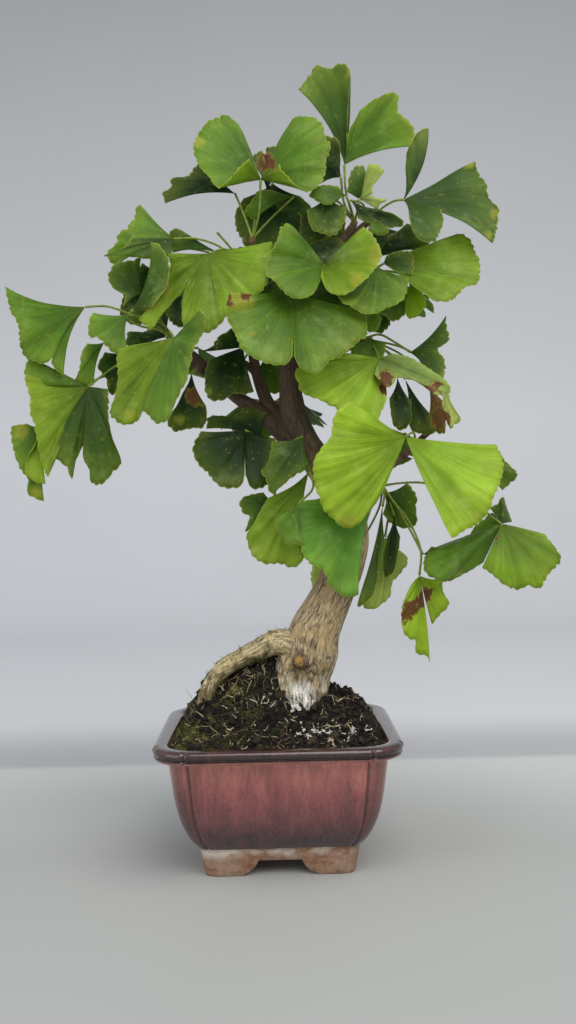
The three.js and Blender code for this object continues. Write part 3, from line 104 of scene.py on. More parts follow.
# Each shoot: the branch that bears it, then its leaves. A drawn leaf has a letter for the colour of each
# blade, its stalk's route and the rim of each blade; the letters pick lit and shaded copies of the leaf
# green, as painted light and shade. A leaf of the back has its letter, then its bearing from straight back,
# its stalk's climb, the stalk's length and the blade's.
SHOOTS = {
    "leaves_apex": ("trunk", """
        dm: 41 343 0, 40.5 357 2: 42 372 3, 43 392 5, 44 407 6, 40 410 8, 33 407.5 12, 27 409 14,
            20 401 14, 17 397 14: 75 366 -6, 77.5 374 -6, 72.5 382 -4, 69.5 386 -2, 69 393 0,
            62 393 2, 54 389.5 4, 48 383 5, 42 372 3;
        d: 38 337 0, 31 341 -4: 20.5 334 -8, 21 327 -9, 24 322 -9, 30 321 -8, 35 320 -7, 39 324 -5,
            42 335 -3;
        m: 43 336 -1, 41 341 -3: 36 338 -6, 32 336 -9, 26 338 -10, 21.5 341.5 -10, 24 345 -9,
            29 347 -7, 37 346 -4;
        dpp: 47 334 0, 48 339 -1: 41.5 343 -3, 42 350 -4, 45 355 -4, 49 357.5 -4, 51.5 355 -3,
            51 348 -3: 55 342 -5, 55.5 347 -7, 58 350 -8, 61.5 354 -9, 59 356 -9, 54 357.5 -8,
            51 350 -5: 53 341 2, 57 339.5 2, 62 338.5 2, 59 336 2, 57 333.5 2;
        k: 40 337 3, 38.5 350.5 2: 38.5 360 0, 37.5 371 0, 31.5 372.5 1, 27.5 366 2, 25 355.5 3,
            28 347.5 3;
        k: 41 331.5 9, 33.5 336.5 11: 41 331.5 12, 39.5 322 12, 36.5 313.5 12, 29 310 11.5,
            21.5 311.5 11, 17 318.5 10.5, 17 332 10.5;"""),
    "leaves_apex_right": ("apexSpur", """
        ddd: 60 334.5 8, 66.5 338 4, 71 338.5 2: 72.5 352 2, 73 363 2, 76 369 3, 80 374.5 4, 84 376 6,
            84 371 8: 109 358.5 8, 111.5 354 6, 115 348 4, 117 340 2, 121 334 0, 120 328 -3,
            119 320 -8, 117 315 -12: 91 333 -8, 91 325 -10, 88 316.5 -12, 83 316 -12, 77 320 -11,
            74 327 -8, 73.5 333 -4;
        k: 50 336 8, 43.5 338.5 -5: 47 329 -8, 52 327 -9, 57 327.5 -10, 62 323.5 -10, 67 323.5 -10,
            71 326 -10, 66 330.5 -9, 58 334 -7;
        m: 53 330 8: 58 330 6, 60.5 326 5, 63 321.5 4, 57 320.5 4, 52 323 4;
        k: 55.5 328 17: 71 321.5 16, 71.5 313 15, 65 309 15.5, 57 311.5 16, 51 313.5 15.5, 49 319 15;"""),
    "leaves_upper_left": ("innerUpright", """
        lmlm: -4.5 332 0, -3.3 350 -1: -9 361 -12, -15 357 -15, -20 351 -17, -25 346 -17: -25 346 -17,
            -31 351 -12, -36.5 359 -6, -38 367 0, -35 376 5, -28 382 8, -21 385 9, -15 380 10,
            -13 368 10: 21 343 -18, 15 346.5 -17, 10 352 -15, 6.5 358 -12: 9 366 6, 12.5 378 6,
            16 382 5, 24 382 3, 29 378 0, 31.5 371 -3, 34.5 367 -6, 31.5 360 -9, 30.5 352 -12,
            27 346 -15, 21 343 -18;
        k: -12 331 4, -16.7 343 7: -53 338 12, -54.5 343.5 13, -50.5 346 14, -50.5 351 14, -43 352 14,
            -37 358.5 16, -30 362 18;
        k: -6 332 8, 0 344 12: -9 360 15, -7 363 16, -3 365 17, 0.5 361 17, 0 367 18, 5 367.5 18,
            9.5 366 18, 12 358 16;
        m: 2 330 9, 14 341 8: -7 329 6, -12 333 5, -9 338.5 5, -5 344.5 6, 2 345 7;
        k: -5 331 14, 3 348 15: 17 341 14, 23 334.5 14, 23.5 322.5 14, 17 313 14, 7.5 312.5 14,
            3.5 317 14, -1 311.5 14, -11 312.5 14, -15.5 322 14, -17 332.5 14, -12.5 340.5 14;"""),
    "leaves_centre_top": ("centreTopSpur", """
        lmk: 29 305 -9: 50 324.5 -14, 57 318 -20, 59.5 309 -25, 56 302 -29, 49 296 -31, 42 291 -31,
            36 289.5 -30, 30 292.5 -28, 27 299 -24: 26.5 297 -24, 23 290.5 -28, 17 287.5 -31,
            11 289 -33, 5 295 -33, -0.5 302 -31, 0 310 -28, 4 319 -24, 7 326 -19, 11 327.5 -16,
            15 320 -12: 18 311 1, 20 316 3, 26 318.5 4, 33 319 4, 38.5 317.5 2, 41 312.5 0;"""),
    "leaves_left_mid": ("leftMidSpur", """
        ll: -22 314 2, -31 312 -8: 2 317.5 -14, 3 311 -17, 0 304 -20, 1 298 -22, -3 292 -24,
            -12 286 -25, -20 281 -25, -24.5 277 -25, -31 271 -24, -38 268 -23, -44 272 -21,
            -46 281 -18, -46 288 -15, -43.5 294 -13: -46 291 -13, -57 280 -14, -63 273 -14,
            -68.5 278.5 -13, -60 288 -9, -54 297 -8, -52 305 -7, -52 312 -6;
        md: -26 316 8, -38 320 6, -49 320 4: -85.5 311.5 -6, -78 314 -5, -74.5 318.5 -4,
            -71.5 322.5 -2, -73.5 327 0, -70 332 2, -68.5 337 4, -66 338 5: -50 311.5 0, -60 310 -4,
            -70 310.5 -7, -80 311 -9, -85 312 -9, -76 315.5 -7, -71 321 -5;
        m: -36 314 12, -54 316 12: -79 307 8, -83.5 309.5 8, -84 313.5 8, -78.5 319 8, -78 323.5 9,
            -75 326 10, -70 326 11;
        d: -20 311 9, -26 312.5 8: -50 313 8, -51 319 8, -50.5 324.5 8, -47 325.5 8, -41 321.5 8,
            -37 318 8;
        k: -33 304 7.5, -56.5 304 11: -61 291.5 11, -58 284.5 10, -65 277 10, -72 276 9,
            -77.5 279.5 9, -76.5 288.5 9, -73 297 10, -71 303 10, -65.5 308 11;
        k: -28 303.5 10, -43 298.5 7: -33 286 3, -36 277 2, -42 273.5 1, -49 275 3, -54 281 5,
            -56.5 290 6;
        k: -8 303 13, -3 303 13: 9 300 13, 10 293 13, 5 287 13, -2 286 13, -8 288 13, -9 294 13;
        : -19 314 9, -26.5 323 7;"""),
    "leaves_centre": ("centreSpur", """
        mm: 12 287 -8, 12 292 -13: 50.5 280 -20, 51 270 -26, 46 265 -30, 41 260.5 -34, 32 256 -38,
            23 248.5 -42, 16 253 -42, 12.4 258.5 -40: 11.9 258.5 -40, 8 253.5 -42, 0 254.5 -42,
            -8 256.5 -41, -16 261 -40, -19 269 -38, -23.5 281 -35, -21 290.5 -33;"""),
    "leaves_inner_left": ("innerLeftSpur", """
        kk: -14.5 263 4: -38 261 6, -31 263.5 5, -27 269 4, -21 273.5 3, -15 275 3: -9 240 -4,
            -14 238.5 -5, -20 238.5 -6, -25 235.5 -6, -31 235 -5, -34.5 240 -4, -34.5 248 -1,
            -32 256 2;
        d: -13 258 14, -8 263 17, -2 262 16: 10 258 16, 11 249 16, 7 241 16, 0 238 15, -6 241 14.5,
            -8 250 14;"""),
    "leaves_right_top": ("rightTopBranch", """
        m: 56 304 -1: 73 298 -10, 72.5 290 -15, 68 284.5 -20, 60 282 -23, 55 279.5 -26, 48 280.5 -27,
            41 284 -27, 36 289 -25, 38 296 -19;
        ld: 60 305.5 2: 99 321.5 2, 106 318.5 0, 108.5 311 -3, 111 302 -7, 110 294.5 -10,
            101 291.5 -14, 96 285 -17, 88 285 -19, 82 288 -19: 61.5 309.5 3, 66.5 311.5 1,
            72.5 311.5 -1, 76 306.5 -4, 75 299.5 -6, 70 300 -5;
        b: 65 301 10, 73 298 8: 79.5 290 6, 82 284 5, 80 279.5 4, 75 276.5 3, 71 278.5 3, 71 286 4;
        d: 58 298 11, 63 291 10: 71.5 286 7, 71 279 5, 64.5 274.5 5, 60 277 5, 56 281 6;
        m: 53 294 9, 53 286 6: 58.5 277 2, 57 272 0, 53 270 0, 50.5 272 0, 50 279 1;
        k: 57 292 14, 59 283 13: 63 277 12, 62.5 272 12, 58 268.5 12, 54 270 12;
        k: 56 308 13: 62 319.5 12, 68 322.5 12, 74 326.5 12, 79 319 11, 84.5 315 10, 80 312 10;
        k: 57 299 4, 54 294 3, 46 293.5 3: 44 283 2, 36 281 2, 27 283 1.5, 21 288 1.5, 24 296 2,
            32 299 3;"""),
    "leaves_right_mid": ("rightMidBranch", """
        bu: 54 262 4, 56.7 256 -3: 60 241 -8, 58 230 -12, 53.5 221.5 -16, 44 225 -20, 33 229.5 -24,
            24 235.5 -27, 15.5 240.5 -29, 13 251 -29, 24 254 -23, 40 259 -12: 63.5 258.5 -4,
            74 256 -8, 84 249.5 -14, 93 241.5 -18, 95 237 -19, 85.5 236.5 -19, 81.5 240.5 -17,
            73.5 244 -14, 66 245.5 -11, 60.5 240 -15, 54 248 -12;
        k: 62 258 8, 66 246 5: 73 233 1, 72.5 222 -2, 68 218 -3, 63.5 221 -3, 61.5 235 0;
        k: 64 257 11, 70 245 10: 87 222 7, 86 216 6, 80 216 6, 73 219 6, 71.5 228 7;
        n: 68 258 14, 82 243 14: 91 232 13, 91 224 12, 90 216 11, 86 217 11, 82 225 12;
        d: 57 268.5 11, 64 265 9, 73 259 6: 92 278 9, 93.5 272 7, 94 265.5 5, 88 260.5 3, 90.5 257 1,
            91 251 -1, 89.5 244 -3, 80 250 -2;
        m: 53 266.5 6: 60.5 264 4, 59.5 257 3, 54 252 2, 47.5 253.5 2, 42.5 257.5 2, 42.5 264 3;
        p: 72 260 12, 89 243 3: 93.5 236 1, 93.5 230 -1, 99 224 -3, 96 221 -3, 93.5 218.5 -3,
            91 224 -2, 89 232 0;"""),
    "leaves_right_low": ("rightLowTwig", """
        bb: 74 217 0, 69.5 215 -9: 54 181 -20, 45 170 -25, 38 167.5 -28, 32 172.5 -31, 24 179.5 -33,
            20.5 190 -34, 19.5 197 -34, 24 208 -34, 30 215 -33, 33.5 227 -31, 39 234.5 -28,
            45 232 -25, 53 222 -20: 117 210.5 -14, 121 204 -18, 120.5 196 -22, 118 186 -26,
            114 177 -30, 108 170 -33, 101 165 -35, 93 162 -36;
        d: 84 209 6, 98 203 3: 119 207 4, 124 199.5 4, 128.5 194 3, 124 189 3, 119.5 186 3;"""),
    "leaves_low_right": ("lowRightSpur", """
        c: 57 187 3, 54 184 -4: 44 133 -16, 37 132 -18, 31 134.5 -20, 26 144 -22, 18 151 -24,
            13.5 160 -24, 12 170 -23, 13 181 -21, 25 184 -16;
        d: 58 185 5, 57 179 1: 58 160 -6, 55 146 -9, 50 131 -12, 46 127.5 -13, 43 127 -13, 46 138 -12;
        k: 60 183 9, 63 174 5: 66 163 2, 64 151 0, 61.5 143 -1, 58 141 -1, 57 152 -1, 59 163 1;
        p: 60 178 13, 58 163 12: 66 155.5 12, 69.5 151.5 12, 65.5 143 12, 61 137 12, 60 132 11,
            53.5 127 11, 49 125.5 11, 45.5 128 11, 48 140 12;
        d: 59 186 9: 70 191 9, 75.5 185 8, 75 176 7, 74.5 169 7, 68 166.5 7, 61 169 7, 57 175 7;
        bb: 63 181 3, 71 170 -2, 76.5 155 -8, 75.5 142.5 -9: 88.5 140.5 -9, 88.5 133.5 -10,
            91 127 -10, 86.5 122 -10, 81.5 117.5 -10, 82 125 -10, 80.5 132 -10: 80 97 -10,
            78.5 100 -11, 73 101.5 -12, 73 107.5 -13, 68.5 110 -14, 66 115.5 -15, 66 123.5 -15,
            67.5 130 -15, 70.5 136 -13, 73.5 140.5 -11;
        d: 67 174 2, 77.5 153.5 -9.5: 82 157.5 -12, 89 156.5 -14, 95 159.5 -14, 101.5 163 -12,
            95.5 155.5 -13, 89.5 152 -14, 83 150.5 -13;
        ldmm: 68 191 7, 80 190.5 3, 98 184 -2, 108 177 -6, 119 168.5 -14: 142 163 -18, 148 156 -21,
            150 149.5 -23, 145 142 -25, 139 133.5 -27, 132.5 136.5 -27, 127 134 -27, 118 138 -26,
            108.5 146 -23: 113 177 -5, 117 180 -5, 120 184 -4, 122 177 -4, 124.5 169.5 -6:
            102.5 160 -3, 102 164 -3, 104.5 167.5 -3, 110 171.5 -4, 114 175 -4, 116.5 171.5 -5:
            109 148.5 -12, 92.5 139.5 -18, 86 139.5 -22, 79.5 144 -21, 78 150.5 -17, 82 156 -8;
        p: 55 178 18, 42 157 19, 33 151 18: 25 137 15, 20 136 15, 18 143 15, 20 150 15;"""),
    "leaves_lower_left": ("lowerLeftSpur", """
        kk: -3 214 -9, -14 220 -5: 2 215 -10, 2 206 -13, 0 197 -16, -4 190 -18, -11 189.5 -18,
            -14.1 196 -17: -14.7 196 -17, -17 190.5 -18, -26 190 -18, -32 195.5 -16, -39 203 -14,
            -42 210 -12, -37 220 -8;
        k: 0 213 -5, -5 216 -1: -34 221 3, -33 227 3, -20 228 2, -12 232 1, -2 229 0;
        d: 8 212 -14, 16 216 -16: 20 200 -20, 16 197 -22, 9 194 -23, 3 188.5 -24, -2 185 -24,
            -4 191.5 -24, -6 198 -23, -3 202 -21, 0 214 -18;
        l: 12 202 -12, 19 198 -12: 16 163 -20, 15.5 153 -22, 9 147 -23, 2 150 -23, -5 149.5 -22,
            -9 151 -22, -14 158 -20, -15 164 -19, -9 174 -17, -3 184 -15;
        m: 15 203 -17, 21 190 -21, 13 181 -23: 16 159 -28, 11 160 -29, 6 160 -29, 2.5 166 -28,
            1 172 -27, 5 176 -26;
        d: 4 200 -10, 0 183 -10: -11 170 -12, -15 166.5 -12, -13.5 174 -11, -17 177 -10,
            -17 184.5 -10, -5 187.5 -10;"""),
    "leaves_left_arm": ("leftArm", """
        ml: -52 272 -4, -50 268.5 -22: -35.5 283 -30, -33 280 -30, -34 272 -30, -38.5 265 -30,
            -42 257 -31, -44 246 -33, -50 236 -34, -54 227 -35, -61 224.5 -34, -66.8 230 -34,
            -67.4 235 -32: -67.9 235 -32, -69 229 -33, -76 223.5 -31, -84.5 229.5 -28, -81 240 -26,
            -80 250 -23, -79 263 -20;
        m: -58 274.5 2, -72 281 0, -84 285.5 0, -95.5 285.5 0: -107.5 249.5 -8, -114 255 -9,
            -110.5 264 -9, -116.3 256 -9, -123.5 257.5 -8, -129 262.5 -6, -131.5 270 -4,
            -132 276.5 -2, -134.5 284 1, -137.5 293 5, -137 297.5 7;
        d: -58 273 1, -67 275 -1, -73.5 279 -6, -71 283.5 -12: -61 284 -15, -57 289 -16, -53 295 -16,
            -51.5 303 -16, -53 312 -15, -57 318 -13, -61 318.5 -12;
        d: -58 280 8, -66 292 6: -76 285 2, -75.5 290.5 2, -81 295 2, -83.5 301 2, -80 306.5 2,
            -72 310 3, -66 311 4;
        m: -58 277 3, -73 281 -5: -74.5 265 -10, -78 260.5 -12, -82.5 262 -13, -89 270.5 -14,
            -93 270 -12, -94.5 276 -11, -92 282 -9, -84 281 -6;
        k: -54 269 9: -66 264 9, -75 265 9, -74 272 9, -65 272 10, -60 281 11, -53 290 12, -44 297 12;"""),
    "leaves_far_left": ("farLeftTwig", """
        mldd: -68 255 12, -79 255 7, -87 250 2, -95 244 -2: -127 245 -8, -127.5 253 -7, -126 260 -6,
            -118 255 -5, -107.5 249 -3: -127.5 251 -10, -126 236 -14, -123 220 -16, -119.5 207 -17,
            -117 197 -17, -115 209 -15, -110 222 -11: -92 228 -4, -98 214 -7, -102 206 -9,
            -104.5 196 -10, -107 202 -11, -111 205.5 -11, -114.5 210 -12, -112 217 -11, -106 228 -8:
            -84.5 243 0, -84.5 232 -3, -83 218 -6, -78.5 203 -9, -83 197.5 -10, -89 192 -11,
            -94.5 195 -11, -95 201 -10, -98.5 209 -9, -92.5 226 -5;
        mb: -70 253 14, -90 248 9, -106 238 6, -118 223 0: -119 185 -6, -122 186 -6, -127.5 190 -6,
            -127 196 -5, -130 200 -4, -133.5 207 -3, -135.5 215 -2, -135.5 224.5 0, -127 225.5 1:
            -118 194 -9, -122.5 195 -9, -128 201 -8, -127.5 207 -7, -124 212 -6;
        m: -72 260 12, -86 267 4: -92 245 -1, -96 243.5 -2, -102 245.5 -2, -100 252 -2, -98.5 260 -1,
            -95 266.5 1;
        k: -67 259 16, -76 262 12: -79 242 9, -83 239.5 9, -86 247 9, -90 254 9, -86 262 9;"""),
    "leaves_left_low": ("lowLeftSpur", """
        k: -41 250 0: -34 233 -3, -33.5 226 -4, -36 221 -5, -43 221.5 -6, -51 220 -6, -54.5 225 -6,
            -50 232 -5, -46 240 -3;"""),
    "leaves_back_low": ("backLowBranch", """
        m: -78 12 13 26;
        d: -28 2 10 24;
        m: 24 20 11 25;
        d: 82 8 13 23;"""),
    "leaves_back_mid": ("backMidBranch", """
        m: -70 18 12 25;
        d: -12 0 10 26;
        m: 46 -8 11 23;"""),
    "leaves_back_right": ("backRightBranch", """
        m: -64 10 12 24;
        d: -10 0 10 25;
        m: 42 18 11 25;
        d: 86 4 13 24;"""),
    "leaves_back_left": ("backLeftBranch", """
        m: -64 6 13 24;
        d: -8 16 11 26;
        m: 56 4 12 24;"""),
    "leaves_back_top_right": ("backTopRightBranch", """
        m: -20 3 10 25;
        d: 31 19 11 25;
        m: 82 3 12 24;"""),
    "leaves_back_top_left": ("backTopLeftBranch", """
        m: -80 2 12 24;
        d: -26 14 11 25;
        m: 24 0 10 23;"""),
    "leaves_back_top": ("backTopBranch", """
        m: -46 2 10 23;
        d: 6 12 11 25;
        m: 66 4 12 24;"""),
}

# Marks on the leaves: across, up, radius and kind, where the tree is seen from its front.
SPOTS = {
    "leaves_apex": [(44, 405, 3, "aged")],
    "leaves_apex_right": [(106, 357, 4, "aged"), (106, 359, 2.5, "scorch"), (119, 330, 4, "aged"),
                          (115, 319, 3, "aged")],
    "leaves_centre_top": [(57, 311, 8, "aged"), (46, 297, 6, "aged")],
    "leaves_centre": [(-15, 288, 9, "aged"), (-22, 288, 4, "scorch"), (-12, 290, 3.5, "scorch"),
                      (-9, 270, 2.5, "aged")],
    "leaves_upper_left": [(0, 359, 6, "scorch"), (-35, 370, 4, "aged")],
    "leaves_left_mid": [(-62, 288, 7, "aged"), (-52, 293, 4, "aged")],
    "leaves_right_mid": [(20, 199, 4, "aged"), (60, 246, 5, "scorch"), (59, 240, 4, "scorch"),
                         (85, 241, 5, "scorch"), (92, 247, 4, "aged"), (88, 224, 7, "scorch")],
    "leaves_right_low": [(39, 170, 6, "aged"), (108, 172, 3, "aged"), (24, 181, 3, "aged")],
    "leaves_low_right": [(79, 133, 4.5, "scorch"), (76, 129, 4.5, "scorch"), (71, 126, 4.5, "scorch"),
                         (68, 122, 4.5, "scorch"), (116, 161, 1.4, "scorch"), (146, 140, 5, "aged")],
    "leaves_left_arm": [(-74, 229, 4, "aged")],
    "leaves_far_left": [(-123, 190, 5, "aged"), (-130, 222, 5, "aged"), (-86, 245, 4, "aged")],
    "leaves_left_low": [(-40, 238, 6, "scorch"), (-48, 226, 4, "aged")],
    "leaves_inner_left": [(-33, 240, 3, "aged")],
}

# Places of pale lichen on the soil at the front right: X and Y.
LICHEN = [(10, -34), (14, -36), (18, -32), (21, -34), (24, -31), (34, -35), (38, -31), (44, -29)]

# Height of the mound's ridge along the pot, from left to right.
RIDGE = [(-56, 65), (-50, 72), (-44, 79), (-36, 87), (-28, 93), (-18, 98.5), (-8, 103), (0, 103.5), (8, 95),
         (16, 87), (28, 86), (36, 83), (44, 77), (50, 71.5), (56, 65)]

# Where the soil meets the rim: its height, and X, Y and radius of the corners of the pot's opening.
SOIL_EDGE = 64.6
OPENING = (39.9, 36.1, 12)

# The pot's profile from its floor up the inside, over the rim, down the outside and round the foot: height,
# half width, half depth, corner radius, depth of the upright grooves, and how thin the glaze runs there.
INSIDE = [(14, 33, 30, 6.5, 0, 0), (21, 38.3, 35.1, 7.2, 0, 0), (28, 43.6, 40.2, 8, 0, 0),
          (44, 46.2, 42.7, 9.4, 0, 0), (60, 49, 45.4, 11, 0, 0), (64.4, 52.3, 48.5, 12.4, 0, 0.1)]
RIM = [(65.2, 53.1, 49.3, 12.6, 0, 0.7), (65.8, 53.9, 50.1, 13.4, 0.1, 0.9),
       (66.05, 55, 51.3, 14.5, 0.3, 0.3), (66.1, 56.8, 53.2, 16.3, 0.6, 0),
       (65.95, 58.7, 55.2, 18.2, 0.9, 0.2), (65.4, 60, 56.5, 19.5, 1, 0.8),
       (64.6, 60.6, 57.1, 20.1, 1, 0.6), (63.6, 60.8, 57.3, 20.3, 1, 0.1), (62.8, 60.6, 57.1, 20.1, 1, 0),
       (62.2, 60, 56.5, 19.5, 1, 0), (61.8, 59.4, 55.9, 18.9, 1, 0), (61.4, 59.8, 56.3, 19.3, 1, 0.2),
       (60.9, 60.2, 56.7, 19.7, 1, 0.7), (60.3, 60.1, 56.6, 19.6, 1, 0.9),
       (59.8, 59.4, 55.9, 18.9, 1, 0.5), (59.5, 58, 54.5, 17.5, 1, 0), (59.3, 56.2, 52.5, 15.7, 1, 0),
       (58.9, 54.6, 50.7, 14.1, 1, 0), (58.2, 53.7, 49.7, 13.2, 1, 0)]
BODY = [(57.2, 53.25, 49.3, 12.8, 1, 0), (47, 51.9, 48, 12, 1, 0), (37, 50.4, 46.5, 11, 1, 0),
        (27.5, 48, 44.2, 9.8, 1, 0), (19, 44, 40.4, 8.2, 1, 0), (14.2, 40.2, 37.1, 7, 1, 0.5)]
FOOT = [(13.4, 39.4, 36.4, 6.7, 0.9, 0), (12.6, 39, 36, 6.5, 0.8, 0), (11.6, 39, 36, 6.5, 0.7, 0),
        (8, 38.5, 35.5, 6.5, 0.6, 0), (4, 37.9, 34.9, 6.5, 0.5, 0), (1, 37.4, 34.4, 6.5, 0.5, 0),
        (0.3, 37.1, 34.1, 6.5, 0.4, 0), (0, 36.4, 33.4, 6.5, 0.3, 0), (0, 31.6, 28.6, 6.5, 0, 0),
        (0.5, 31, 28, 6.5, 0, 0), (4, 30.8, 27.8, 6.5, 0, 0), (8, 30.8, 27.8, 6.5, 0, 0)]

# The radius of the drain hole, and the arches between the feet: distance from the middle of a side, height.
HOLE = 7
ARCH = [(0, 7.4), (10.6, 7.4), (11.1, 6.2), (12, 4.6), (13.5, 3), (15, 1.9), (16.6, 1), (17.7, 0.6),
        (17.9, 0)]

# Marks on the bark: across, up, behind, reach, colour and strength.
WOOD_MARKS = [(12, 98.8, -14, 4.8, "#54412C", 0.7), (12, 99, -16.5, 2.4, "#C0965E", 0.85),
              (12, 78, -12, 9, "#FFFBEF", 0.95), (4, 88, -11, 5, "#D9CFB0", 0.6),
              (19, 108, -13, 2.6, "#5C4A38", 0.55), (13, 110, -12, 2.2, "#5A4836", 0.55),
              (29, 92, -10, 5, "#8F8462", 0.5), (26, 84, -10, 5, "#D8CFB8", 0.5),
              (20, 92, -13, 2.4, "#6B5040", 0.5)]


# ---------------------------------------------------------------- settings


def linear(hex_colour):
    """An sRGB hex colour as the linear red, green and blue that a shader works in."""
    parts = np.array([int(hex_colour[i:i + 2], 16) for i in (1, 3, 5)]) / 255
    return tuple(np.where(parts <= 0.04045, parts / 12.92, ((parts + 0.055) / 1.055) ** 2.4).tolist())


def paint(name, description, hex_colour):
    return bpy.props.FloatVectorProperty(
        name=name, description=description, subtype="COLOR", size=3, min=0, max=1,
        default=linear(hex_colour))


def length(name, description, millimetres):
    return bpy.props.FloatProperty(
        name=name, description=description, default=millimetres * MM, min=0, unit="LENGTH",
        subtype="DISTANCE", precision=5)


def power(name, description, watts):
    return bpy.props.FloatProperty(name=name, description=description, default=watts, min=0, unit="POWER")


def count(name, description, default):
    return bpy.props.IntProperty(name=name, description=description, default=default, min=0)


class PotSettings(bpy.types.PropertyGroup):
    glaze: paint("Glaze", "Copper red of the glaze where it lies thick", "#8A4A49")
    glaze_warm: paint("Warm glaze", "Redder glaze near the top of the walls", "#BE7468")
    glaze_low: paint("Low glaze", "Dark purple where the glaze has run down", "#352328")
    glaze_rim: paint("Rim glaze", "Dark brown glaze of the rim", "#2B1B1A")
    glaze_thin: paint("Thin glaze", "Rust colour where the glaze breaks over an edge", "#8C5442")
    clay: paint("Bare clay", "The unglazed feet", "#967056")
    bloom: paint("Bloom", "Pale salts on the bare clay", "#CDBFB0")
    groove: length("Groove depth", "How far the upright grooves in each corner's arc are sunk", 0.9)
    groove_width: length("Groove width", "Half width of those grooves", 0.8)


class GroundSettings(bpy.types.PropertyGroup):
    soil: paint("Soil", "Damp dark potting soil", "#0E0B07")
    soil_dry: paint("Dry soil", "Crumbs that have dried", "#4A3D2C")
    moss: paint("Moss", "Fresh yellow-green moss", "#7E7C3A")
    moss_dark: paint("Dark moss", "Moss in the shade", "#20260F")
    fibre: paint("Fibre", "Dead roots and husks in the soil", "#C2B084")
    tufts: count("Moss tufts", "How many blades of moss grow on the mound", 15000)
    crumbs: count("Crumbs", "How many crumbs of bark and grit lie on the mound", 3600)
    fibres: count("Fibres", "How many root fibres lie on the mound", 560)


class WoodSettings(bpy.types.PropertyGroup):
    bark: paint("Old bark", "Beige-tan bark of the trunk", "#C2AC85")
    bark_young: paint("Young bark", "Brown bark high in the tree", "#5E5142")
    twig: paint("Twig", "Reddish brown of this year's wood", "#5E4535")
    crack: paint("Crack", "The bottom of the bark's cracks", "#57432F")
    root: paint("Root", "Tan skin of the exposed roots", "#DAC79B")
    voxel: length("Detail", "Size of the cells that the branches are merged in", 0.72)
    relief: length("Bark relief", "Depth of the trunk's cracks", 0.55)


class LeafSettings(bpy.types.PropertyGroup):
    # painted light and shade: pale, bright and light are the leaf green lightened for leaves that are lit,
    # pale also standing in for light shining through; dark and deep are it darkened for leaves in the shade
    # inside the crown, deep the darkest
    pale: paint("Pale leaf", "Leaves that the light shines through", "#A3B45C")
    bright: paint("Bright leaf", "Leaves in full light", "#88A824")
    light: paint("Light leaf", "Leaves between those in full light and most leaves", "#678219")
    cool: paint("Cool leaf", "Leaves of a bluer green in the shade", "#609334")
    mid: paint("Leaf", "Most leaves", "#50711A")
    dark: paint("Dark leaf", "Leaves inside the crown", "#385216")
    deep: paint("Deep leaf", "The oldest and darkest leaves", "#192D0C")
    yellow: paint("Yellow", "Patches and specks that have begun to turn", "#A39C34")
    brown: paint("Dry leaf", "Withered leaves and scorched patches", "#6E4022")
    under: paint("Underside", "The duller lower face", "#7E924A")
    margin: paint("Margin", "Pale edge of a leaf", "#A0A844")
    thick: length("Leaf thickness", "Thickness of a blade", 0.34)
    swell: length("Swell", "Height of the broad, soft swells of the largest leaves", 1.5)
    pleat: length("Pleat", "Depth of the pleats along the veins of the largest leaves", 0.85)
    ripple: length("Ripple", "Height of the ripples at the rim of the largest leaves", 1.0)
    tooth: length("Tooth", "Depth of the rim's scallops", 0.95)
    vein: length("Vein spacing", "Distance between veins at the rim", 1.5)


class StageSettings(bpy.types.PropertyGroup):
    floor: paint("Floor", "Pale table top", "#B4B5B1")
    wall: paint("Wall", "Pale backdrop low down", "#DFDFE0")
    # painted shade: wall_top is the backdrop darkened high up, where less light reaches it
    wall_top: paint("Wall top", "The backdrop where it fades high up", "#B2B2B3")
    sky: paint("Sky", "Colour of the light from all round", "#E6ECF4")
    sky_strength: bpy.props.FloatProperty(
        name="Sky strength", description="Brightness of the light from all round", default=0.6, min=0)
    key: power("Key light", "Power of the large lamp above the front", 16)
    fill: power("Fill light", "Power of the lamp at the left", 5)


# ---------------------------------------------------------------- shapes


def unit(vectors):
    return vectors / np.maximum(np.linalg.norm(vectors, axis=-1, keepdims=True), 1e-9)


def ease(low, high, value):
    """0 below low, 1 above high, and an S-shaped rise between."""
    share = np.clip((value - low) / (high - low), 0, 1)
    return share * share * (3 - 2 * share)


def places(text):
    """A row of a table as numbers: commas part its places, and spaces part the numbers of each."""
    return np.array([place.split() for place in text.split(",")], float)


def sight(route):
    """Places given as they are seen from the eye: across and up on the upright plane through the pot, each
    spread out by how much farther from the eye the point lies."""
    across, up, behind = np.asarray(route, float)[:, :3].T
    spread = 1 + behind / EYE["away"]
    return np.stack([across * spread, behind, MIDDLE + (up - MIDDLE) * spread], 1)


def seen(points):
    """Across and up of points as they are seen from the eye: sight the other way round."""
    spread = 1 + points[..., 1] / EYE["away"]
    return points[..., 0] / spread, MIDDLE + (points[..., 2] - MIDDLE) / spread


def random_from(seed):
    """The same even random numbers as the frame's own shapes use, one at each call."""
    state, mask = seed, 0xFFFFFFFF

    def draw():
        nonlocal state
        state = (state + 0x6D2B79F5) & mask
        t = ((state ^ (state >> 15)) * (1 | state)) & mask
        t = ((t + ((t ^ (t >> 7)) * (61 | t))) & mask) ^ t
        return ((t ^ (t >> 14)) & mask) / 4294967296

    return draw


